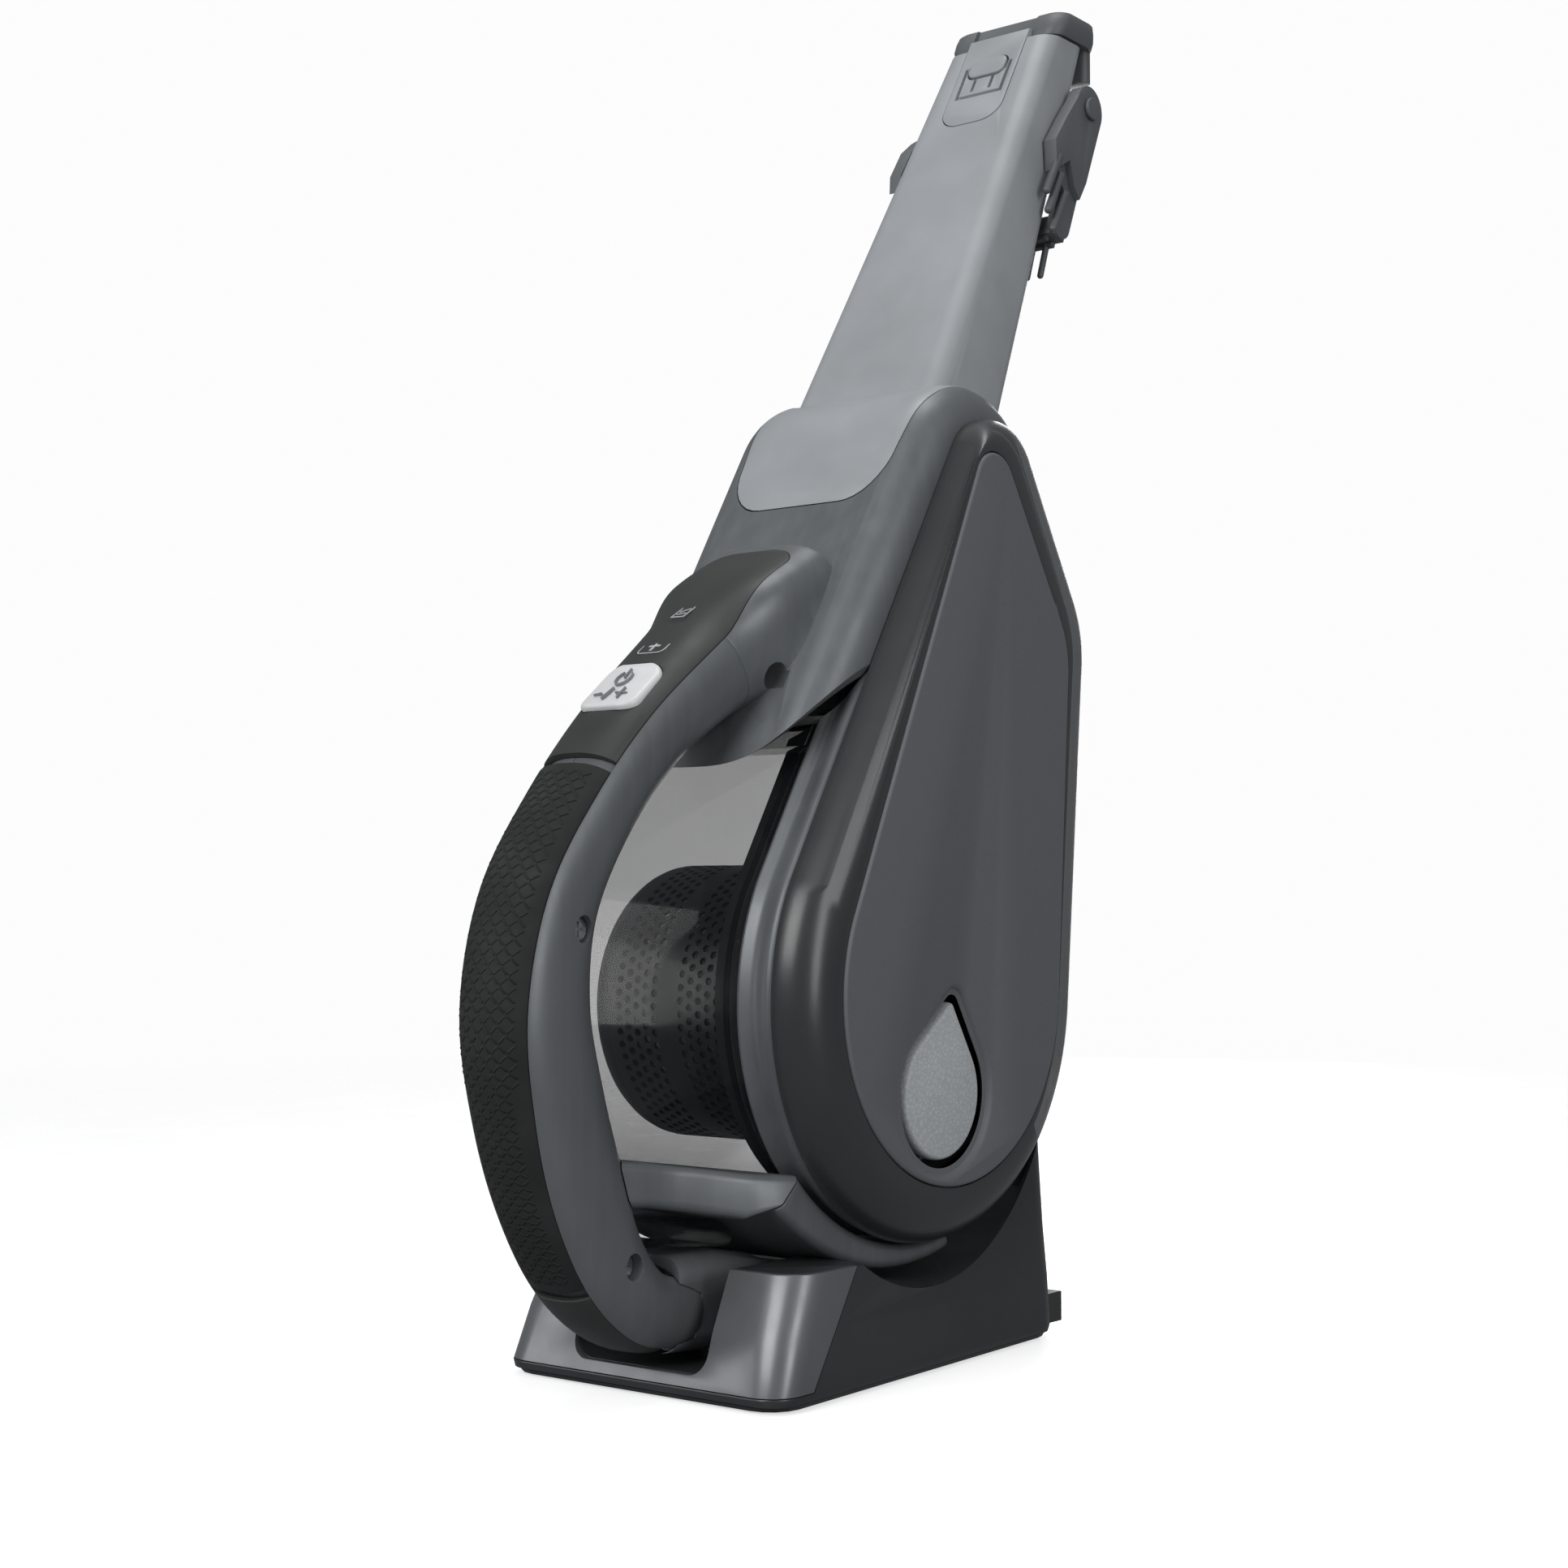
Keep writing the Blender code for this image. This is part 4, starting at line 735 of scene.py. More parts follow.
def panel_half(share):
    """Half the panel's width, with its upper corners rounded."""
    grip = spine_at(share)[4] - 0.25
    down = min(PANEL_CORNER, (share - PANEL_TOP) * SHARE_MM)
    return grip - PANEL_CORNER + math.sqrt(PANEL_CORNER**2 - (PANEL_CORNER - down) ** 2)


def make_saddle():
    """The broad pad on the front of the housing that the top of the handle grows out of."""
    saddle = loft([pad_ring(share, 0.12) for share in spaced(0.4, PAD_END, 36)])
    shares = spaced(PANEL_TOP, PAD_END + 1.0, 44)
    cut(saddle, loft([strip(share, panel_half(share) + 0.35, 2.4, 6.0) for share in shares]))
    keep(saddle, lip_block(0.0, ABOVE))
    return cut(saddle, hull_body(housing_stations(1.2)))


def recess(centre, floor_x, start_x=40.0, radius=3.9):
    return tube((start_x, *centre), (floor_x, *centre), radius, 32)


def make_housing():
    body = hull_body(housing_stations(0.0))
    keep(body, lip_block(0.0, ABOVE))
    cut(body, hull_body(housing_stations(SHELL_WALL)))
    cut(body, collar_prism(0.25, 60.0), nozzle_body(GAP, 250.0, 330.0))
    cut(body, box((-20.3, 80.0, 203.7), (20.3, 140.0, 246.3)))
    add(body, make_saddle())
    y, z, floor_x = HANDLE_SCREWS[0]
    cut(body, recess((y, z), floor_x, 23.6))
    finish_piece(body, "upper_housing", 0.7)


def make_grille():
    grille = hull_body(housing_stations(0.4))
    cut(grille, hull_body(housing_stations(SHELL_WALL - 0.2)))
    keep(grille, box((-20.0, 80.0, 204.0), (20.0, 140.0, 246.0)))
    for k in range(6):
        z = 209.0 + 6.0 * k
        cut(grille, box((-16.0, 70.0, z), (16.0, 140.0, z + 2.6)))
    finish_piece(grille, "exhaust_grille", 0.3)


def make_cover():
    outer = []
    inner = [(POD_X - 3.0, OUTLINE, -2.0)]
    for t in quarter(12):
        share = 1.0 - math.cos(t)
        x = POD_X + GAP / 2 + (POD_FACE_X - POD_X) * math.sin(t)
        outer.append((x, between(OUTLINE, PLATE, share), 1.5 * share))
        inner.append((x - 2.2, between(OUTLINE, PLATE, share), 1.5 * share - 2.0))
    cover = hull_body(outer)
    cut(cover, hull_body(inner[:1] + inner[2:]))
    cut(cover, hull_body([(POD_FACE_X - 1.2, PLATE, 0.3), (POD_FACE_X + 5.0, PLATE, 0.3)]))
    cut(cover, hull_body([(45.0, RELEASE, 1.5), (60.0, RELEASE, 1.5)]))
    finish_piece(cover, "side_cover", 0.4)


def make_plate():
    x = POD_FACE_X - 1.0
    stations = [(x, PLATE, -0.2), (x + 1.1, PLATE, -0.2)]
    for t in quarter(5):
        stations.append((x + 1.1 + 0.9 * math.sin(t), PLATE, -0.2 - 1.2 * (1.0 - math.cos(t))))
    plate = hull_body(stations)
    hole = [(40.0, RELEASE, 0.6), (x + 0.2, RELEASE, 0.6), (x + 0.3, RELEASE, 2.4), (x + 1.2, RELEASE, 2.8)]
    hole += [(x + 2.6, RELEASE, 5.4), (70.0, RELEASE, 16.0)]
    cut(plate, hull_body(hole))
    finish_piece(plate, "side_plate", 0.15)


def make_release():
    x = POD_FACE_X - 1.6
    # A thin gloss black sheet behind the release button fills the gap round it: painted shade for that dark
    # gap.
    gap_shade = hull_body([(x - 6.2, RELEASE, 1.1), (x - 5.6, RELEASE, 1.1)])
    detail(gap_shade, "release_gap_shade", "side_cover", GLOSS_BLACK)
    stations = [(x - 2.4, RELEASE, -1.8), (x - 0.8, RELEASE, -1.8)]
    for t in quarter(6)[1:]:
        stations.append((x - 0.8 + 2.0 * math.sin(t), RELEASE, -1.8 - 1.4 * (1.0 - math.cos(t))))
    finish_piece(hull_body(stations), "release_button", 0.0)


def make_nozzle():
    nozzle = nozzle_body(0.0, 262.0, NOZZLE_TIP_Z)
    groove = cut(nozzle_body(2.6, 240.0, 340.0), hull_body(housing_stations(1.3)))
    collar = hull_body(housing_stations(0.0))
    cut(collar, hull_body(housing_stations(SHELL_WALL)))
    keep(collar, collar_prism(-0.15, 60.0))
    cut(collar, groove)
    add(nozzle, collar)
    cut(nozzle, nozzle_body(-2.0, 240.0, 470.0))
    cut(nozzle, face_shape(latch_outline(0.3), -6.0, 3.4))
    finish_piece(nozzle, "nozzle", 0.7)


def make_latch():
    """The tongue with its springy legs, cut free by a U-shaped slot with two short ones inside."""
    plate = face_shape(latch_outline(0.0), -0.2, 2.4)
    keep(plate, nozzle_body(3.0, 380.0, NOZZLE_TIP_Z + 4.0))
    cut(plate, key_body(0.75, -3.0, 4.0))
    for side in (-1, 1):
        leg = [(side * 8.6, -10.0), (side * 10.0, -10.0), (side * 10.0, -25.5), (side * 8.5, -25.5)]
        cut(plate, face_shape(leg, -2.0, 1.4))
        inner = [(side * 3.0, -16.5), (side * 4.4, -16.5), (side * 4.4, -22.6), (side * 3.0, -22.6)]
        cut(plate, face_shape(inner, -2.0, 1.4))
    base = [(-10.0, -24.2), (10.0, -24.2), (10.0, -25.7), (-10.0, -25.7)]
    cut(plate, face_shape(base, -2.0, 1.4))
    finish_piece(plate, "latch_plate", 0.2)
    finish_piece(key_body(0.0, -1.0, 1.4), "latch_button", 0.5)


def key_body(grow, near, far):
    half, tall = 7.6 + grow, 4.2 + grow
    shape = rounded_rect(-half, half, -11.5 - tall, -11.5 + tall, 3.2 + grow, 0.0)
    return face_shape([(x, s) for x, s, _ in shape], near, far)


def make_tool():
    def blade(half, near, far, radius, s0, s1):
        ring = rounded_rect(-half, half, near, far, radius, 0.0, 6)
        return loft([[face_point(x, s, d) for x, d, _ in ring] for s in (s0, s1)])

    tool = blade(19.2, 3.0, 14.6, 3.5, -TOOL_LENGTH, 6.0)
    flare = []
    for z, grow in ((452.4, -0.6), (455.0, 0.3), (458.0, 0.4), (460.8, 0.1), (461.6, -0.6)):
        front = 123.5 + (z - 452.4) * 0.5
        flare.append(rounded_rect(-23.6 - grow, 23.6 + grow, front - grow, 152.5, 6.0, z))
    skirt = [rounded_rect(-21.0, 21.0, 147.2, 152.5, 2.4, z, 4) for z in (441.0, 455.0)]
    head = add(loft(flare), loft(skirt))
    add(tool, head)
    cut(tool, blade(17.6, 4.6, 13.0, 2.5, -TOOL_LENGTH - 5.0, 30.0))
    cut(tool, face_shape(latch_outline(0.4), -6.0, 2.8))
    finish_piece(tool, "crevice_tool", 0.5)


# ---- brush
def brush_point(x, reach, across):
    y = BRUSH_PIVOT[0] + BRUSH_ARM[0] * reach - BRUSH_ARM[1] * across
    return (x, y, BRUSH_PIVOT[1] + BRUSH_ARM[1] * reach + BRUSH_ARM[0] * across)


def pivot_rod(side, near, far, radius):
    return tube((side * near, *BRUSH_PIVOT), (side * far, *BRUSH_PIVOT), radius)


def make_brush():
    frame_body = None
    for side in (-1, 1):
        thin = []
        for t in turn(48):
            near = math.cos(t) < 0
            wide = BRUSH_EYE if near else 5.5
            thin.append(((0.0 if near else BRUSH_REACH - 2.0) + wide * math.cos(t), wide * math.sin(t)))
        half_turn = [t + math.pi / 2 for t in spaced(0.0, math.pi, 17)]
        pad = [(BRUSH_EYE * math.cos(t), BRUSH_EYE * math.sin(t)) for t in half_turn]
        if side < 0:
            pad += [(14.0, -20.0), (21.0, -24.4), (33.0, -27.4), (39.0, -25.6), (27.0, -11.0)]
        else:
            pad += [(11.0, -12.5), (23.0, -16.5), (33.0, -12.5)]
        pad += [(25.0, -5.8), (32.0, -0.5), (35.0, 4.4), (27.0, 6.4)]
        arm = loft([[brush_point(side * x, *p) for p in thin] for x in (26.0, 28.3)])
        add(arm, loft([[brush_point(side * x, *p) for p in pad] for x in (26.0, 30.8)]))
        frame_body = arm if frame_body is None else add(frame_body, arm)
    square = ((-3.5, -3.6), (3.5, -3.6), (3.5, 3.6), (-3.5, 3.6))
    bar = [[brush_point(x, BRUSH_REACH + r, w) for r, w in square] for x in (-28.0, 28.0)]
    add(frame_body, loft(bar))
    for side in (-1, 1):
        cut(frame_body, pivot_rod(side, 20.0, 40.0, 2.4))
    finish_piece(frame_body, "brush_frame", 0.6)
    make_comb("bristle_row_outer", 2.2, 0.0, 14.0)
    make_comb("bristle_row_inner", -2.2, 2.75, 12.5)
    for side, tag in ((-1, "left"), (1, "right")):
        make_side_rods("bristle_side_" + tag, side)
        pin = add(pivot_rod(side, 24.4, 32.0, 2.1), pivot_rod(side, 31.1, 32.5, 4.0))
        finish_piece(pin, "brush_pin_" + tag, 0.3)


def make_comb(node, w, phase, reach):
    start = BRUSH_REACH + 3.9
    strip = ((start, w - 0.9), (start + 1.6, w - 0.9), (start + 1.6, w + 0.9), (start, w + 0.9))
    comb = loft([[brush_point(x, *p) for p in strip] for x in (-25.0, 25.0)])
    for x in [-22.0 + 5.5 * k + phase for k in range(9)]:
        if abs(x) <= 24.0:
            ends = (brush_point(x, start + 0.5, w), brush_point(x, start + reach, w))
            add(comb, tube(*ends, 1.15, 14, round_end=True))
    finish_piece(comb, node, 0.0)


def make_side_rods(node, side):
    foot = [(25.6, -12.0), (32.2, -8.6), (37.4, -3.0), (38.8, -3.6), (33.4, -9.8), (26.6, -13.2)]
    comb = loft([[brush_point(side * x, *p) for p in foot] for x in (28.7, 30.3)])
    lean = Vector((0.0, -0.5037, -0.8639)) * 18.0
    for reach, across in ((26.5, -11.4), (32.4, -8.2), (37.2, -3.6)):
        start = Vector(brush_point(side * 29.8, reach, across))
        add(comb, tube(start, start + lean, 1.5, 20, round_end=True))
    finish_piece(comb, node, 0.0)


# ---- handle
def make_grip():
    """The soft grip, with short raised dashes in a herringbone over its front."""
    grip = sweep(spine_part(34.0, 81.0), crescent(1))
    finish_piece(grip, "grip_overmould", 0.3)
    bm = bmesh.new()
    for row, share in enumerate(spaced(35.0, 79.6, 66)):
        for k in range(-5, 6):
            lean = 1.0 if (row + k) % 2 else -1.0
            x = 2.35 * k
            edge = spine_at(share)[4] - 2.0
            if abs(x) + 1.1 > edge:
                continue
            along = 0.26 * lean
            add_dash(bm, (share - along, x - 1.05), (share + along, x + 1.05))
    detail(object_from(bm), "grip_dashes", "grip_overmould", GRIP_DASH)


def add_dash(bm, start, end):
    """One raised dash with sloping sides, lying on the grip between two (share, x) places."""
    a, b = on_grip(*start, -0.08), on_grip(*end, -0.08)
    up = (on_grip(*start, 1.0) - on_grip(*start, 0.0)).normalized()
    across = (b - a).cross(up).normalized() * DASH_HALF
    low = [a - across, b - across, b + across, a + across]
    lift = up * (DASH_HEIGHT + 0.08)
    middle = (a + b) / 2
    wrap(bm, [low, [middle + (p - middle) * DASH_TAPER + lift for p in low]])


def key_square(grow, low, high, crown=False):
    """A rounded square in the handle's front face, from low to high above it."""
    pos, outward, depth, half, _ = spine_at(BUTTON_SHARE)
    tangent = Vector((0.0, -outward.z, outward.y))
    levels = [(low, 0.0), (high, 0.0)]
    if crown:
        levels = [(low, 0.0), (high - 0.8, 0.0), (high - 0.3, 0.25), (high - 0.05, 0.7), (high, 1.3)]
    rings = []
    for level, inset in levels:
        edge = BUTTON_HALF + grow - inset
        shape = rounded_rect(-edge, edge, -edge, edge, 5.5 + grow - inset, 0.0, 10)
        ring = []
        for x, t, _ in shape:
            u = section_u(x, depth, half) + level
            ring.append(tuple(pos + outward * u + tangent * t + Vector((x, 0.0, 0.0))))
        rings.append(ring)
    return loft(rings)


def housing_room():
    return hull_body([(x * 1.01, c, g + GAP) for x, c, g in housing_stations(0.0)])


def make_handle():
    for side, tag in ((1, "right"), (-1, "left")):
        body = sweep(spine_part(PAD_END, 100.0), half_section(side))
        cut(body, housing_room(), key_square(0.45, -3.6, 4.0))
        if side > 0:
            for y, z, floor_x in HANDLE_SCREWS:
                cut(body, recess((y, z), floor_x))
        finish_piece(body, "handle_" + tag, 0.35)
    make_grip()
    shares = spaced(PANEL_TOP + 0.06, 33.0, 90)
    panel = loft([strip(share, panel_half(share), SKIN - 0.25, 0.0) for share in shares])
    cut(panel, key_square(0.35, -4.0, 4.0))
    finish_piece(panel, "control_panel", 0.3)
    finish_piece(key_square(0.0, -0.75, 1.1, True), "power_button", 0.0)
    cap = sweep(spine_part(82.0, 95.0), crescent(1))
    finish_piece(cap, "grip_end_cap", 0.3)
    liner = sweep(spine_part(20.0, 80.0), crescent(-1, LINER_HALF))
    finish_piece(liner, "handle_liner", 0.3)
    make_marks()


def ribbon(name, paths, share, lift, wide, material, like):
    """Flat printed lines on the handle's front; each path lists (x, up) in mm from a place."""
    pos, outward, depth, half, _ = spine_at(share)
    tangent = Vector((0.0, -outward.z, outward.y))
    bm = bmesh.new()
    for path in paths:
        for (x0, t0), (x1, t1) in zip(path, path[1:]):
            length = math.hypot(x1 - x0, t1 - t0)
            nx, nt = (t0 - t1) / length * wide / 2, (x1 - x0) / length * wide / 2
            ex, et = (x1 - x0) / length * wide * 0.4, (t1 - t0) / length * wide * 0.4
            quad = [(x0 - ex + nx, t0 - et + nt), (x0 - ex - nx, t0 - et - nt)]
            quad += [(x1 + ex - nx, t1 + et - nt), (x1 + ex + nx, t1 + et + nt)]
            rows = []
            for level in (-0.12, lift):
                row = []
                for x, t in quad:
                    u = section_u(x, depth, half) + level
                    row.append(pos + outward * u - tangent * t + Vector((x, 0.0, 0.0)))
                rows.append(row)
            wrap(bm, rows)
    detail(object_from(bm), name, like, material)


def arc(radius, first, last):
    angles = [math.radians(a) for a in spaced(first, last, 15)]
    return [(radius * math.cos(t), radius * math.sin(t)) for t in angles]


def make_marks():
    """Generic symbols: a battery, a plus in a box, and power, minus and plus on the button."""
    top = 1.13
    power = [[(x, 3.0 + 1.25 * t) for x, t in arc(2.6, 125.0, 415.0)], [(0.0, 7.4), (0.0, 3.4)]]
    signs = [[(-6.6, -4.4), (-3.6, -4.4)], [(-1.7, -7.0), (-0.5, -2.0)]]
    signs += [[(2.0, -4.4), (6.0, -4.4)], [(4.0, -6.8), (4.0, -2.0)]]
    ribbon("mark_power", power, BUTTON_SHARE, top, 0.42, BUTTON_MARK, "power_button")
    ribbon("mark_signs", signs, BUTTON_SHARE, top, 0.42, BUTTON_MARK, "power_button")
    edge = [(x, 1.5 * t) for x, t, _ in rounded_rect(-5.0, 5.0, -2.6, 2.6, 1.7, 0.0, 5)]
    ribbon("mark_box", [edge + edge[:1]], 20.4, 0.08, 0.36, PRINT, "control_panel")
    plus = [[(-1.8, 0.0), (1.8, 0.0)], [(0.0, -2.4), (0.0, 2.4)]]
    ribbon("mark_plus", plus, 20.4, 0.1, 0.9, PRINT, "control_panel")
    cell = [[(-2.4, -6.0), (2.4, -6.0), (2.4, 5.2), (-2.4, 5.2), (-2.4, -6.0)]]
    cell += [[(-1.1, 6.4), (1.1, 6.4)], [(-1.4, -2.6), (1.4, -0.6)], [(-1.4, -4.2), (1.4, -3.6)]]
    ribbon("mark_battery", cell, 14.6, 0.1, 0.4, PRINT, "control_panel")


# ---- drum
def make_bowl():
    outer = []
    inner = []
    radius = 12.0
    for t in quarter(12):
        x = BOWL_END_X + radius - radius * math.cos(t)
        drop = radius - radius * math.sin(t)
        outer.append((x, OUTLINE, BOWL_GROW - drop))
        inner.append((x + BOWL_WALL, OUTLINE, BOWL_GROW - BOWL_WALL - drop))
    outer.append((BOWL_OPEN_X, OUTLINE, BOWL_GROW))
    inner.append((BOWL_OPEN_X + 5.0, OUTLINE, BOWL_GROW - BOWL_WALL))
    bowl = hull_body(outer)
    cut(bowl, lip_block(0.8, ABOVE, True))
    cut(bowl, cut(hull_body(inner), lip_block(0.8 + BOWL_WALL, ABOVE, True)))
    cut(bowl, box((-12.5, 9.0, 190.0), (12.5, 41.0, 240.0)))
    finish_piece(bowl, "bowl", 0.4)
    hoop = drum_body(HOOP_SHAPE)
    cut(hoop, lip_block(0.8, ABOVE))
    bore = drum_body([(20.0, -5.6), (46.0, -5.6)])
    cut(hoop, cut(bore, lip_block(3.4, ABOVE)))
    finish_piece(hoop, "drum_hoop", 0.0)
    shroud = keep(drum_body([(20.0, BOWL_GROW), (BOWL_OPEN_X, BOWL_GROW)]), lip_block(0.8, BELOW))
    cut(shroud, lip_block(0.4, BELOW, True))
    finish_piece(shroud, "drum_shroud", 0.3)


def hexagon(radius):
    angles = [math.radians(60 * k + 30) for k in range(6)]
    return [(radius * math.cos(t), radius * math.sin(t)) for t in angles]


def make_screen():
    """The perforated cup: a honeycomb of six-sided holes with plain bands, round a turned end."""
    bm = bmesh.new()
    columns = round(2 * math.pi * FILTER_R / HOLE_PITCH)
    pitch = 2 * math.pi * FILTER_R / columns
    rise = pitch * math.sqrt(3.0) / 2.0
    x_first = FILTER_END_X + 9.0
    rows = int((FILTER_PLATE_X - 1.0 - x_first) / rise)
    for row in range(rows):
        for column in range(columns):
            x0 = x_first + rise * (row + 0.5)
            around = pitch * (column + 0.5 * (row % 2))
            plain = row < 1 or row >= rows - 2 or rows // 2 - 1 <= row <= rows // 2
            add_cell(bm, x0, around, pitch / math.sqrt(3.0), 0.0 if plain else 0.56)
    screen = object_from(bm)
    mod = screen.modifiers.new("wall", "SOLIDIFY")
    mod.thickness = 1.2 * MM
    mod.offset = -1.0
    apply_modifiers(screen)
    profile = [(FILTER_END_X, FILTER_R - 12.0)]
    for t in quarter(8):
        profile.append((FILTER_END_X + 9.0 - 9.0 * math.cos(t), FILTER_R - 9.0 + 9.0 * math.sin(t)))
    end = turned((FILTER_Y, FILTER_Z), profile + [(x_first + 0.6, FILTER_R)])
    inner = [(x + 1.3, r - 1.3) for x, r in profile] + [(x_first + 8.0, FILTER_R - 1.3)]
    cut(end, turned((FILTER_Y, FILTER_Z), inner))
    finish_piece(screen, "filter_screen", 0.0)
    detail(end, "filter_end", "filter_screen", LOOKS["drum_black"], 0.3)


def add_cell(bm, x0, around, radius, hole):
    """One cell of the honeycomb on the cup's side, with a hole of that share of its size."""
    def place(dx, da):
        t = (around + da) / FILTER_R
        return (x0 + dx, FILTER_Y + FILTER_R * math.cos(t), FILTER_Z + FILTER_R * math.sin(t))

    outer = [bm.verts.new(Vector(place(b, a)) * MM) for a, b in hexagon(radius)]
    if not hole:
        bm.faces.new(outer)
        return
    inner = [bm.verts.new(Vector(place(b, a)) * MM) for a, b in hexagon(radius * hole)]
    for k in range(6):
        j = (k + 1) % 6
        bm.faces.new((outer[k], outer[j], inner[j], inner[k]))


def make_drum_core():
    x = FILTER_PLATE_X
    centre = (DRUM_Y, DRUM_Z)
    r = FILTER_PLATE_R
    plate = turned(centre, [(x, r - 0.8), (x + 0.8, r), (x + 3.2, r)])
    cut(plate, turned(centre, [(x - 5.0, 27.0), (x + 9.0, 27.0)]))
    finish_piece(plate, "filter_plate", 0.3)
    case = drum_body([(19.2, -9.0), (20.0, -7.2), (22.2, -6.0), (40.4, -6.0)])
    cut(case, lip_block(BULKHEAD_DROP, ABOVE, True))
    pocket = drum_body([(22.2, -8.8), (46.0, -8.8)])
    cut(pocket, lip_block(BULKHEAD_DROP + 2.8, ABOVE, True))
    cut(case, cut(pocket, turned(centre, [(14.0, 54.8), (50.0, 54.8)])))
    cut(case, turned(centre, [(24.2, 52.0), (45.0, 52.0)]))
    cut(case, turned(centre, [(14.0, 19.0), (27.0, 19.0)]))
    finish_piece(case, "motor_housing", 0.4)
    seal = drum_body([(x, -8.0), (x + 4.2, -6.6)])
    cut(seal, lip_block(BULKHEAD_DROP, ABOVE, True))
    bore = drum_body([(x - 5.0, -11.8), (x + 9.0, -11.8)])
    cut(seal, cut(bore, lip_block(BULKHEAD_DROP + 5.2, ABOVE, True)))
    finish_piece(seal, "bowl_seal", 0.3)


# ---- lower frame
def drum_room(grow):
    return drum_body([(-80.0, grow), (80.0, grow)])


def strap_ring(degrees, half, thick, flip=False):
    t = math.radians(degrees)
    base = DRUM_R + GAP + 0.1
    ring = []
    for x, r, _ in rounded_rect(-half, half, base, base + thick, min(3.0, thick / 2.2), 0, 6):
        r = 2 * base + thick - r if flip else r
        ring.append((x, DRUM_Y + r * math.cos(t), DRUM_Z + r * math.sin(t)))
    return ring


def arm_ring(y, half, low, high, radius):
    return [(x, y, z) for x, z, _ in rounded_rect(-half, half, low, high, radius, 0, 6)]


def handle_room(first):
    return sweep(spine_part(first, 100.0), full_section)


def contact_rooms(low, high):
    return [box((x, -34.25, low), (x + 4.5, -23.75, high)) for x in (-9.25, 4.75)]


def make_lower_frame():
    strap = []
    for share in spaced(0.0, 1.0, 30):
        strap.append(strap_ring(222.0 + 59.0 * share, 38.0 + 3.0 * share, 13.0 - 8.5 * share))
    finish_piece(loft(strap), "cradle_claw", 0.3)
    places = ((-101.0, 13.5, 57.0, 70.5), (-84.0, 15.0, 55.5, 68.5), (-72.0, 20.0, 53.5, 66.5))
    places += ((-61.0, 31.0, 51.0, 64.5),)
    rings = [arm_ring(*place, 3.0) for place in places] + [strap_ring(221.5, 38.0, 13.0, True)]
    arm = cut(loft(rings), handle_room(50.0))
    finish_piece(arm, "lower_arm", 0.3, SOFT_ANGLE)
    places = ((-77.0, 9.0, 43.0, 50.5), (-60.0, 12.0, 41.5, 50.0), (-46.0, 13.0, 40.5, 48.5))
    trim = loft([arm_ring(*place, 3.0) for place in places])
    cut(trim, drum_room(14.0), handle_room(50.0))
    finish_piece(trim, "arm_trim", 0.3)
    heel = loft([
        arm_ring(-70.0, 13.0, 12.0, 40.0, 6.0),
        arm_ring(-52.0, 15.0, 11.0, 40.0, 7.0),
        arm_ring(-30.0, 16.0, 11.5, 36.5, 7.0),
        arm_ring(-8.0, 15.0, 14.0, 30.0, 6.0),
        arm_ring(4.0, 12.0, 17.0, 26.0, 4.0),
    ])
    cut(heel, handle_room(84.0), drum_room(14.0), recess(HEEL_SCREW[:2], HEEL_SCREW[2]))
    cut(heel, *contact_rooms(9.0, 13.0))
    finish_piece(heel, "dock_heel", 0.4, SOFT_ANGLE)


# ---- stand
def stand_loft(inset=0.0):
    rings = []
    for k, (z, front, rear, half_front, half_rear) in enumerate(STAND):
        wide = half_front - inset
        ring = []
        shape = rounded_rect(-wide, wide, front + inset, rear - inset, 9.0 + 1.5 * k - inset, z, 10)
        for x, y, _ in shape:
            share = (y - front) / (rear - front)
            ring.append((x * (1.0 + (half_rear / half_front - 1.0) * share), y, z))
        rings.append(ring)
    if inset:
        rings[0] = [(x, y, -5.0) for x, y, _ in rings[0]]
    return loft(rings)


def cradle_room(grow):
    rings = []
    for x, y, z, r in CRADLE:
        rings.append([(x, y + (r + grow) * math.cos(t), z + (r + grow) * math.sin(t)) for t in turn(144)])
    return loft(rings)


def heel_room(grow):
    floor = RECESS_FLOOR - grow
    rings = [arm_ring(-100.0, 26.0 + grow, floor, 90.0, 6.0)]
    return loft(rings + [arm_ring(12.0 + grow, 24.0 + grow, floor, 90.0, 6.0)])


def stand_front(grow):
    return box((-70.0, -100.0, STAND_FRONT_TOP - grow), (70.0, -24.0, 120.0))


def fascia_room(grow):
    """The slanted block in front of the seam on the stand's sides."""
    ring = [(-100.0, 4.8 - grow), (-59.0 + grow, 4.8 - grow), (-34.5 + grow, 36.9), (-100.0, 36.9)]
    return loft([[(x, y, z) for y, z in ring] for x in (-70.0, 70.0)])


def make_stand():
    stand = stand_loft()
    hollow = stand_loft(STAND_WALL + 2.4)
    for cutter in (cradle_room, heel_room, stand_front):
        cut(stand, cutter(0.0))
        cut(hollow, cutter(STAND_WALL + 0.6))
    cut(stand, hollow)
    skin = cut(stand_loft(-1.0), stand_loft(STAND_WALL + 0.3))
    cut(stand, keep(skin, fascia_room(0.25)))
    cut(stand, box((23.75, 66.0, 2.65), (42.25, 92.0, 12.85)))
    cut(stand, *contact_rooms(4.0, 12.0))
    finish_piece(stand, "stand_body", 0.5)
    fascia = cut(stand_loft(), stand_loft(STAND_WALL))
    keep(fascia, fascia_room(0.0))
    cut(fascia, heel_room(0.0))
    finish_piece(fascia, "stand_fascia", 0.5)


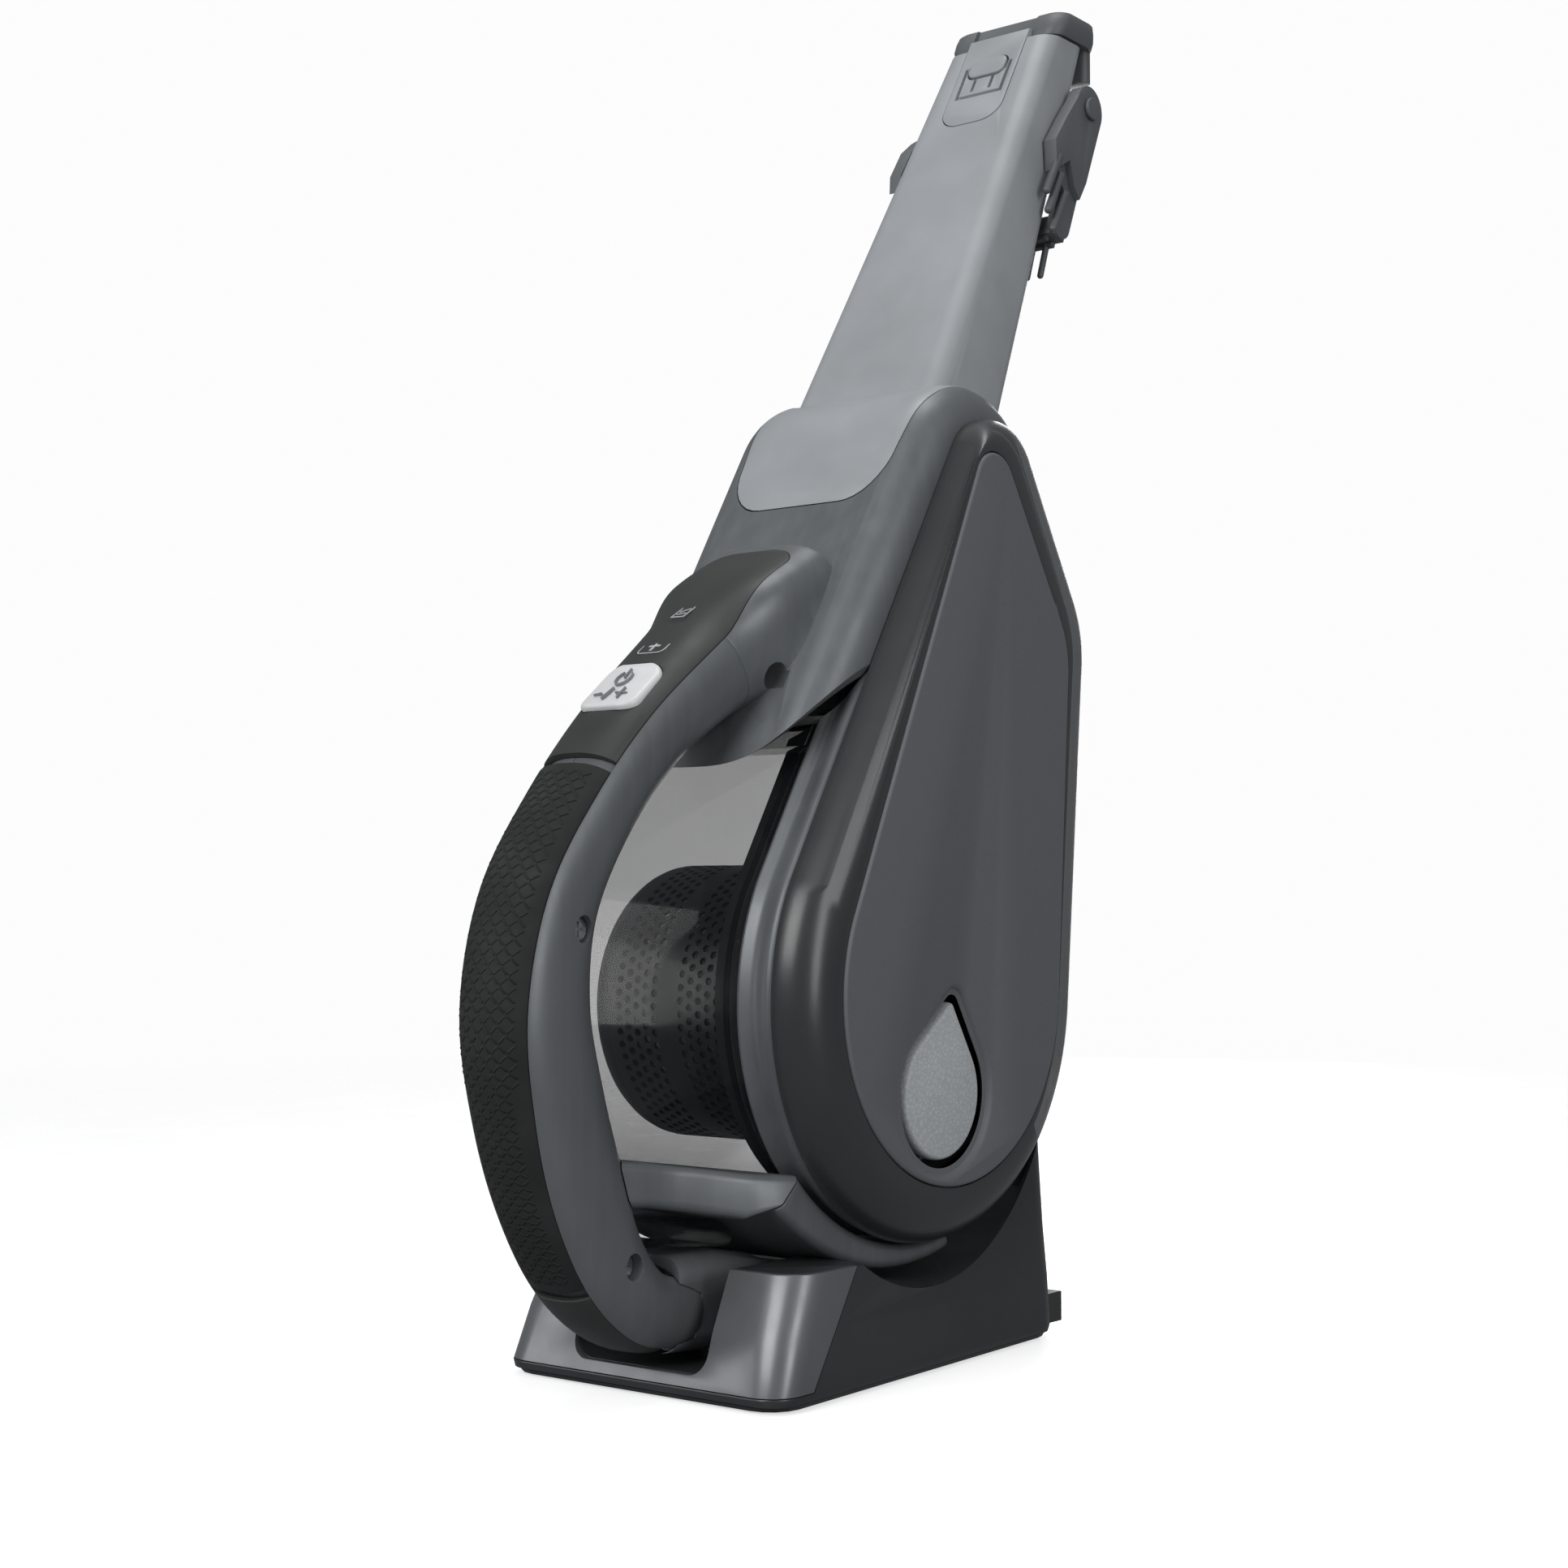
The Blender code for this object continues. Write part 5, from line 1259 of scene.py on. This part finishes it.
# ---- setting
def make_floor():
    """A pale disc that fades out, so that it has no edge against the pale background."""
    bm = bmesh.new()
    bmesh.ops.create_circle(bm, cap_ends=True, segments=128, radius=1.5)
    floor = object_from(bm)
    floor.name = "floor"
    look = Look("floor")
    tone = look.mix(look.spread(look.noise(3.0), 0.0, 1.0), (0.86, 0.86, 0.865), (0.9, 0.9, 0.905))
    look.feed("Base Color", tone)
    look.feed("Roughness", look.spread(look.noise(20.0), 0.22, 0.3))
    distance = look.node("ShaderNodeVectorMath", operation="LENGTH")
    look.link(look.place, distance.inputs[0])
    look.feed("Alpha", look.spread(distance.outputs["Value"], 1.0, 0.0, 0.4, 1.4))
    look.set(Emission_Color=(1.0, 1.0, 1.0, 1.0), Emission_Strength=0.62)
    floor.data.materials.append(look.mat)
    floor.visible_diffuse = False
    floor.visible_glossy = False


def area_light(name, place, size, power):
    data = bpy.data.lights.new(name, "AREA")
    data.shape = "RECTANGLE"
    data.size, data.size_y = size
    data.energy = power
    light = bpy.data.objects.new(name, data)
    light.location = place
    light.visible_camera = False
    light.rotation_euler = (LIGHT_AIM - Vector(place)).to_track_quat("-Z", "Y").to_euler()
    bpy.context.scene.collection.objects.link(light)


def make_light():
    area_light("key_softbox", (0.15, -1.4, 0.95), (0.9, 0.9), 13.0)
    area_light("front_left_softbox", (-0.95, -1.05, 0.4), (0.45, 1.2), 4.4)
    area_light("side_softbox", (1.35, -0.35, 0.6), (0.4, 1.1), 6.0)
    area_light("top_softbox", (0.0, 0.1, 1.5), (0.7, 0.7), 5.0)
    area_light("rear_rim", (-0.55, 1.3, 0.45), (0.3, 1.2), 4.0)
    world = bpy.data.worlds.new("studio")
    bpy.context.scene.world = world
    world.use_nodes = True
    nodes, links = world.node_tree.nodes, world.node_tree.links
    ambient = nodes["Background"]
    ambient.inputs["Color"].default_value = (0.93, 0.95, 1.0, 1.0)
    ambient.inputs["Strength"].default_value = 0.19
    backdrop = nodes.new("ShaderNodeBackground")
    backdrop.inputs["Color"].default_value = (0.98, 0.98, 0.98, 1.0)
    mixed = nodes.new("ShaderNodeMixShader")
    links.new(nodes.new("ShaderNodeLightPath").outputs["Is Camera Ray"], mixed.inputs["Fac"])
    links.new(ambient.outputs["Background"], mixed.inputs[1])
    links.new(backdrop.outputs["Background"], mixed.inputs[2])
    links.new(mixed.outputs["Shader"], nodes["World Output"].inputs["Surface"])


def make_camera():
    data = bpy.data.cameras.new("camera")
    data.sensor_width = 36.0
    data.lens = 55.1
    camera = bpy.data.objects.new("camera", data)
    camera.location = (0.46586, -0.60071, 0.14501)
    camera.rotation_euler = (math.radians(92.6), 0.0, math.radians(38.0))
    bpy.context.scene.collection.objects.link(camera)
    bpy.context.scene.camera = camera


def dress_cad_nodes():
    """The CAD nodes that keep their own shape get their slot's look."""
    for name, node in frame["nodes"].items():
        if not node.hide_render:
            node.data.materials.clear()
            node.data.materials.append(LOOKS[NODE_SLOT[name]])


def main():
    bpy.context.scene.view_settings.view_transform = "Standard"
    for make in (
        make_camera, make_light, make_floor, make_housing, make_grille, make_cover, make_plate,
        make_release, make_nozzle, make_latch, make_tool, make_brush, make_handle, make_bowl,
        make_screen, make_drum_core, make_lower_frame, make_stand, dress_cad_nodes,
    ):
        make()


main()
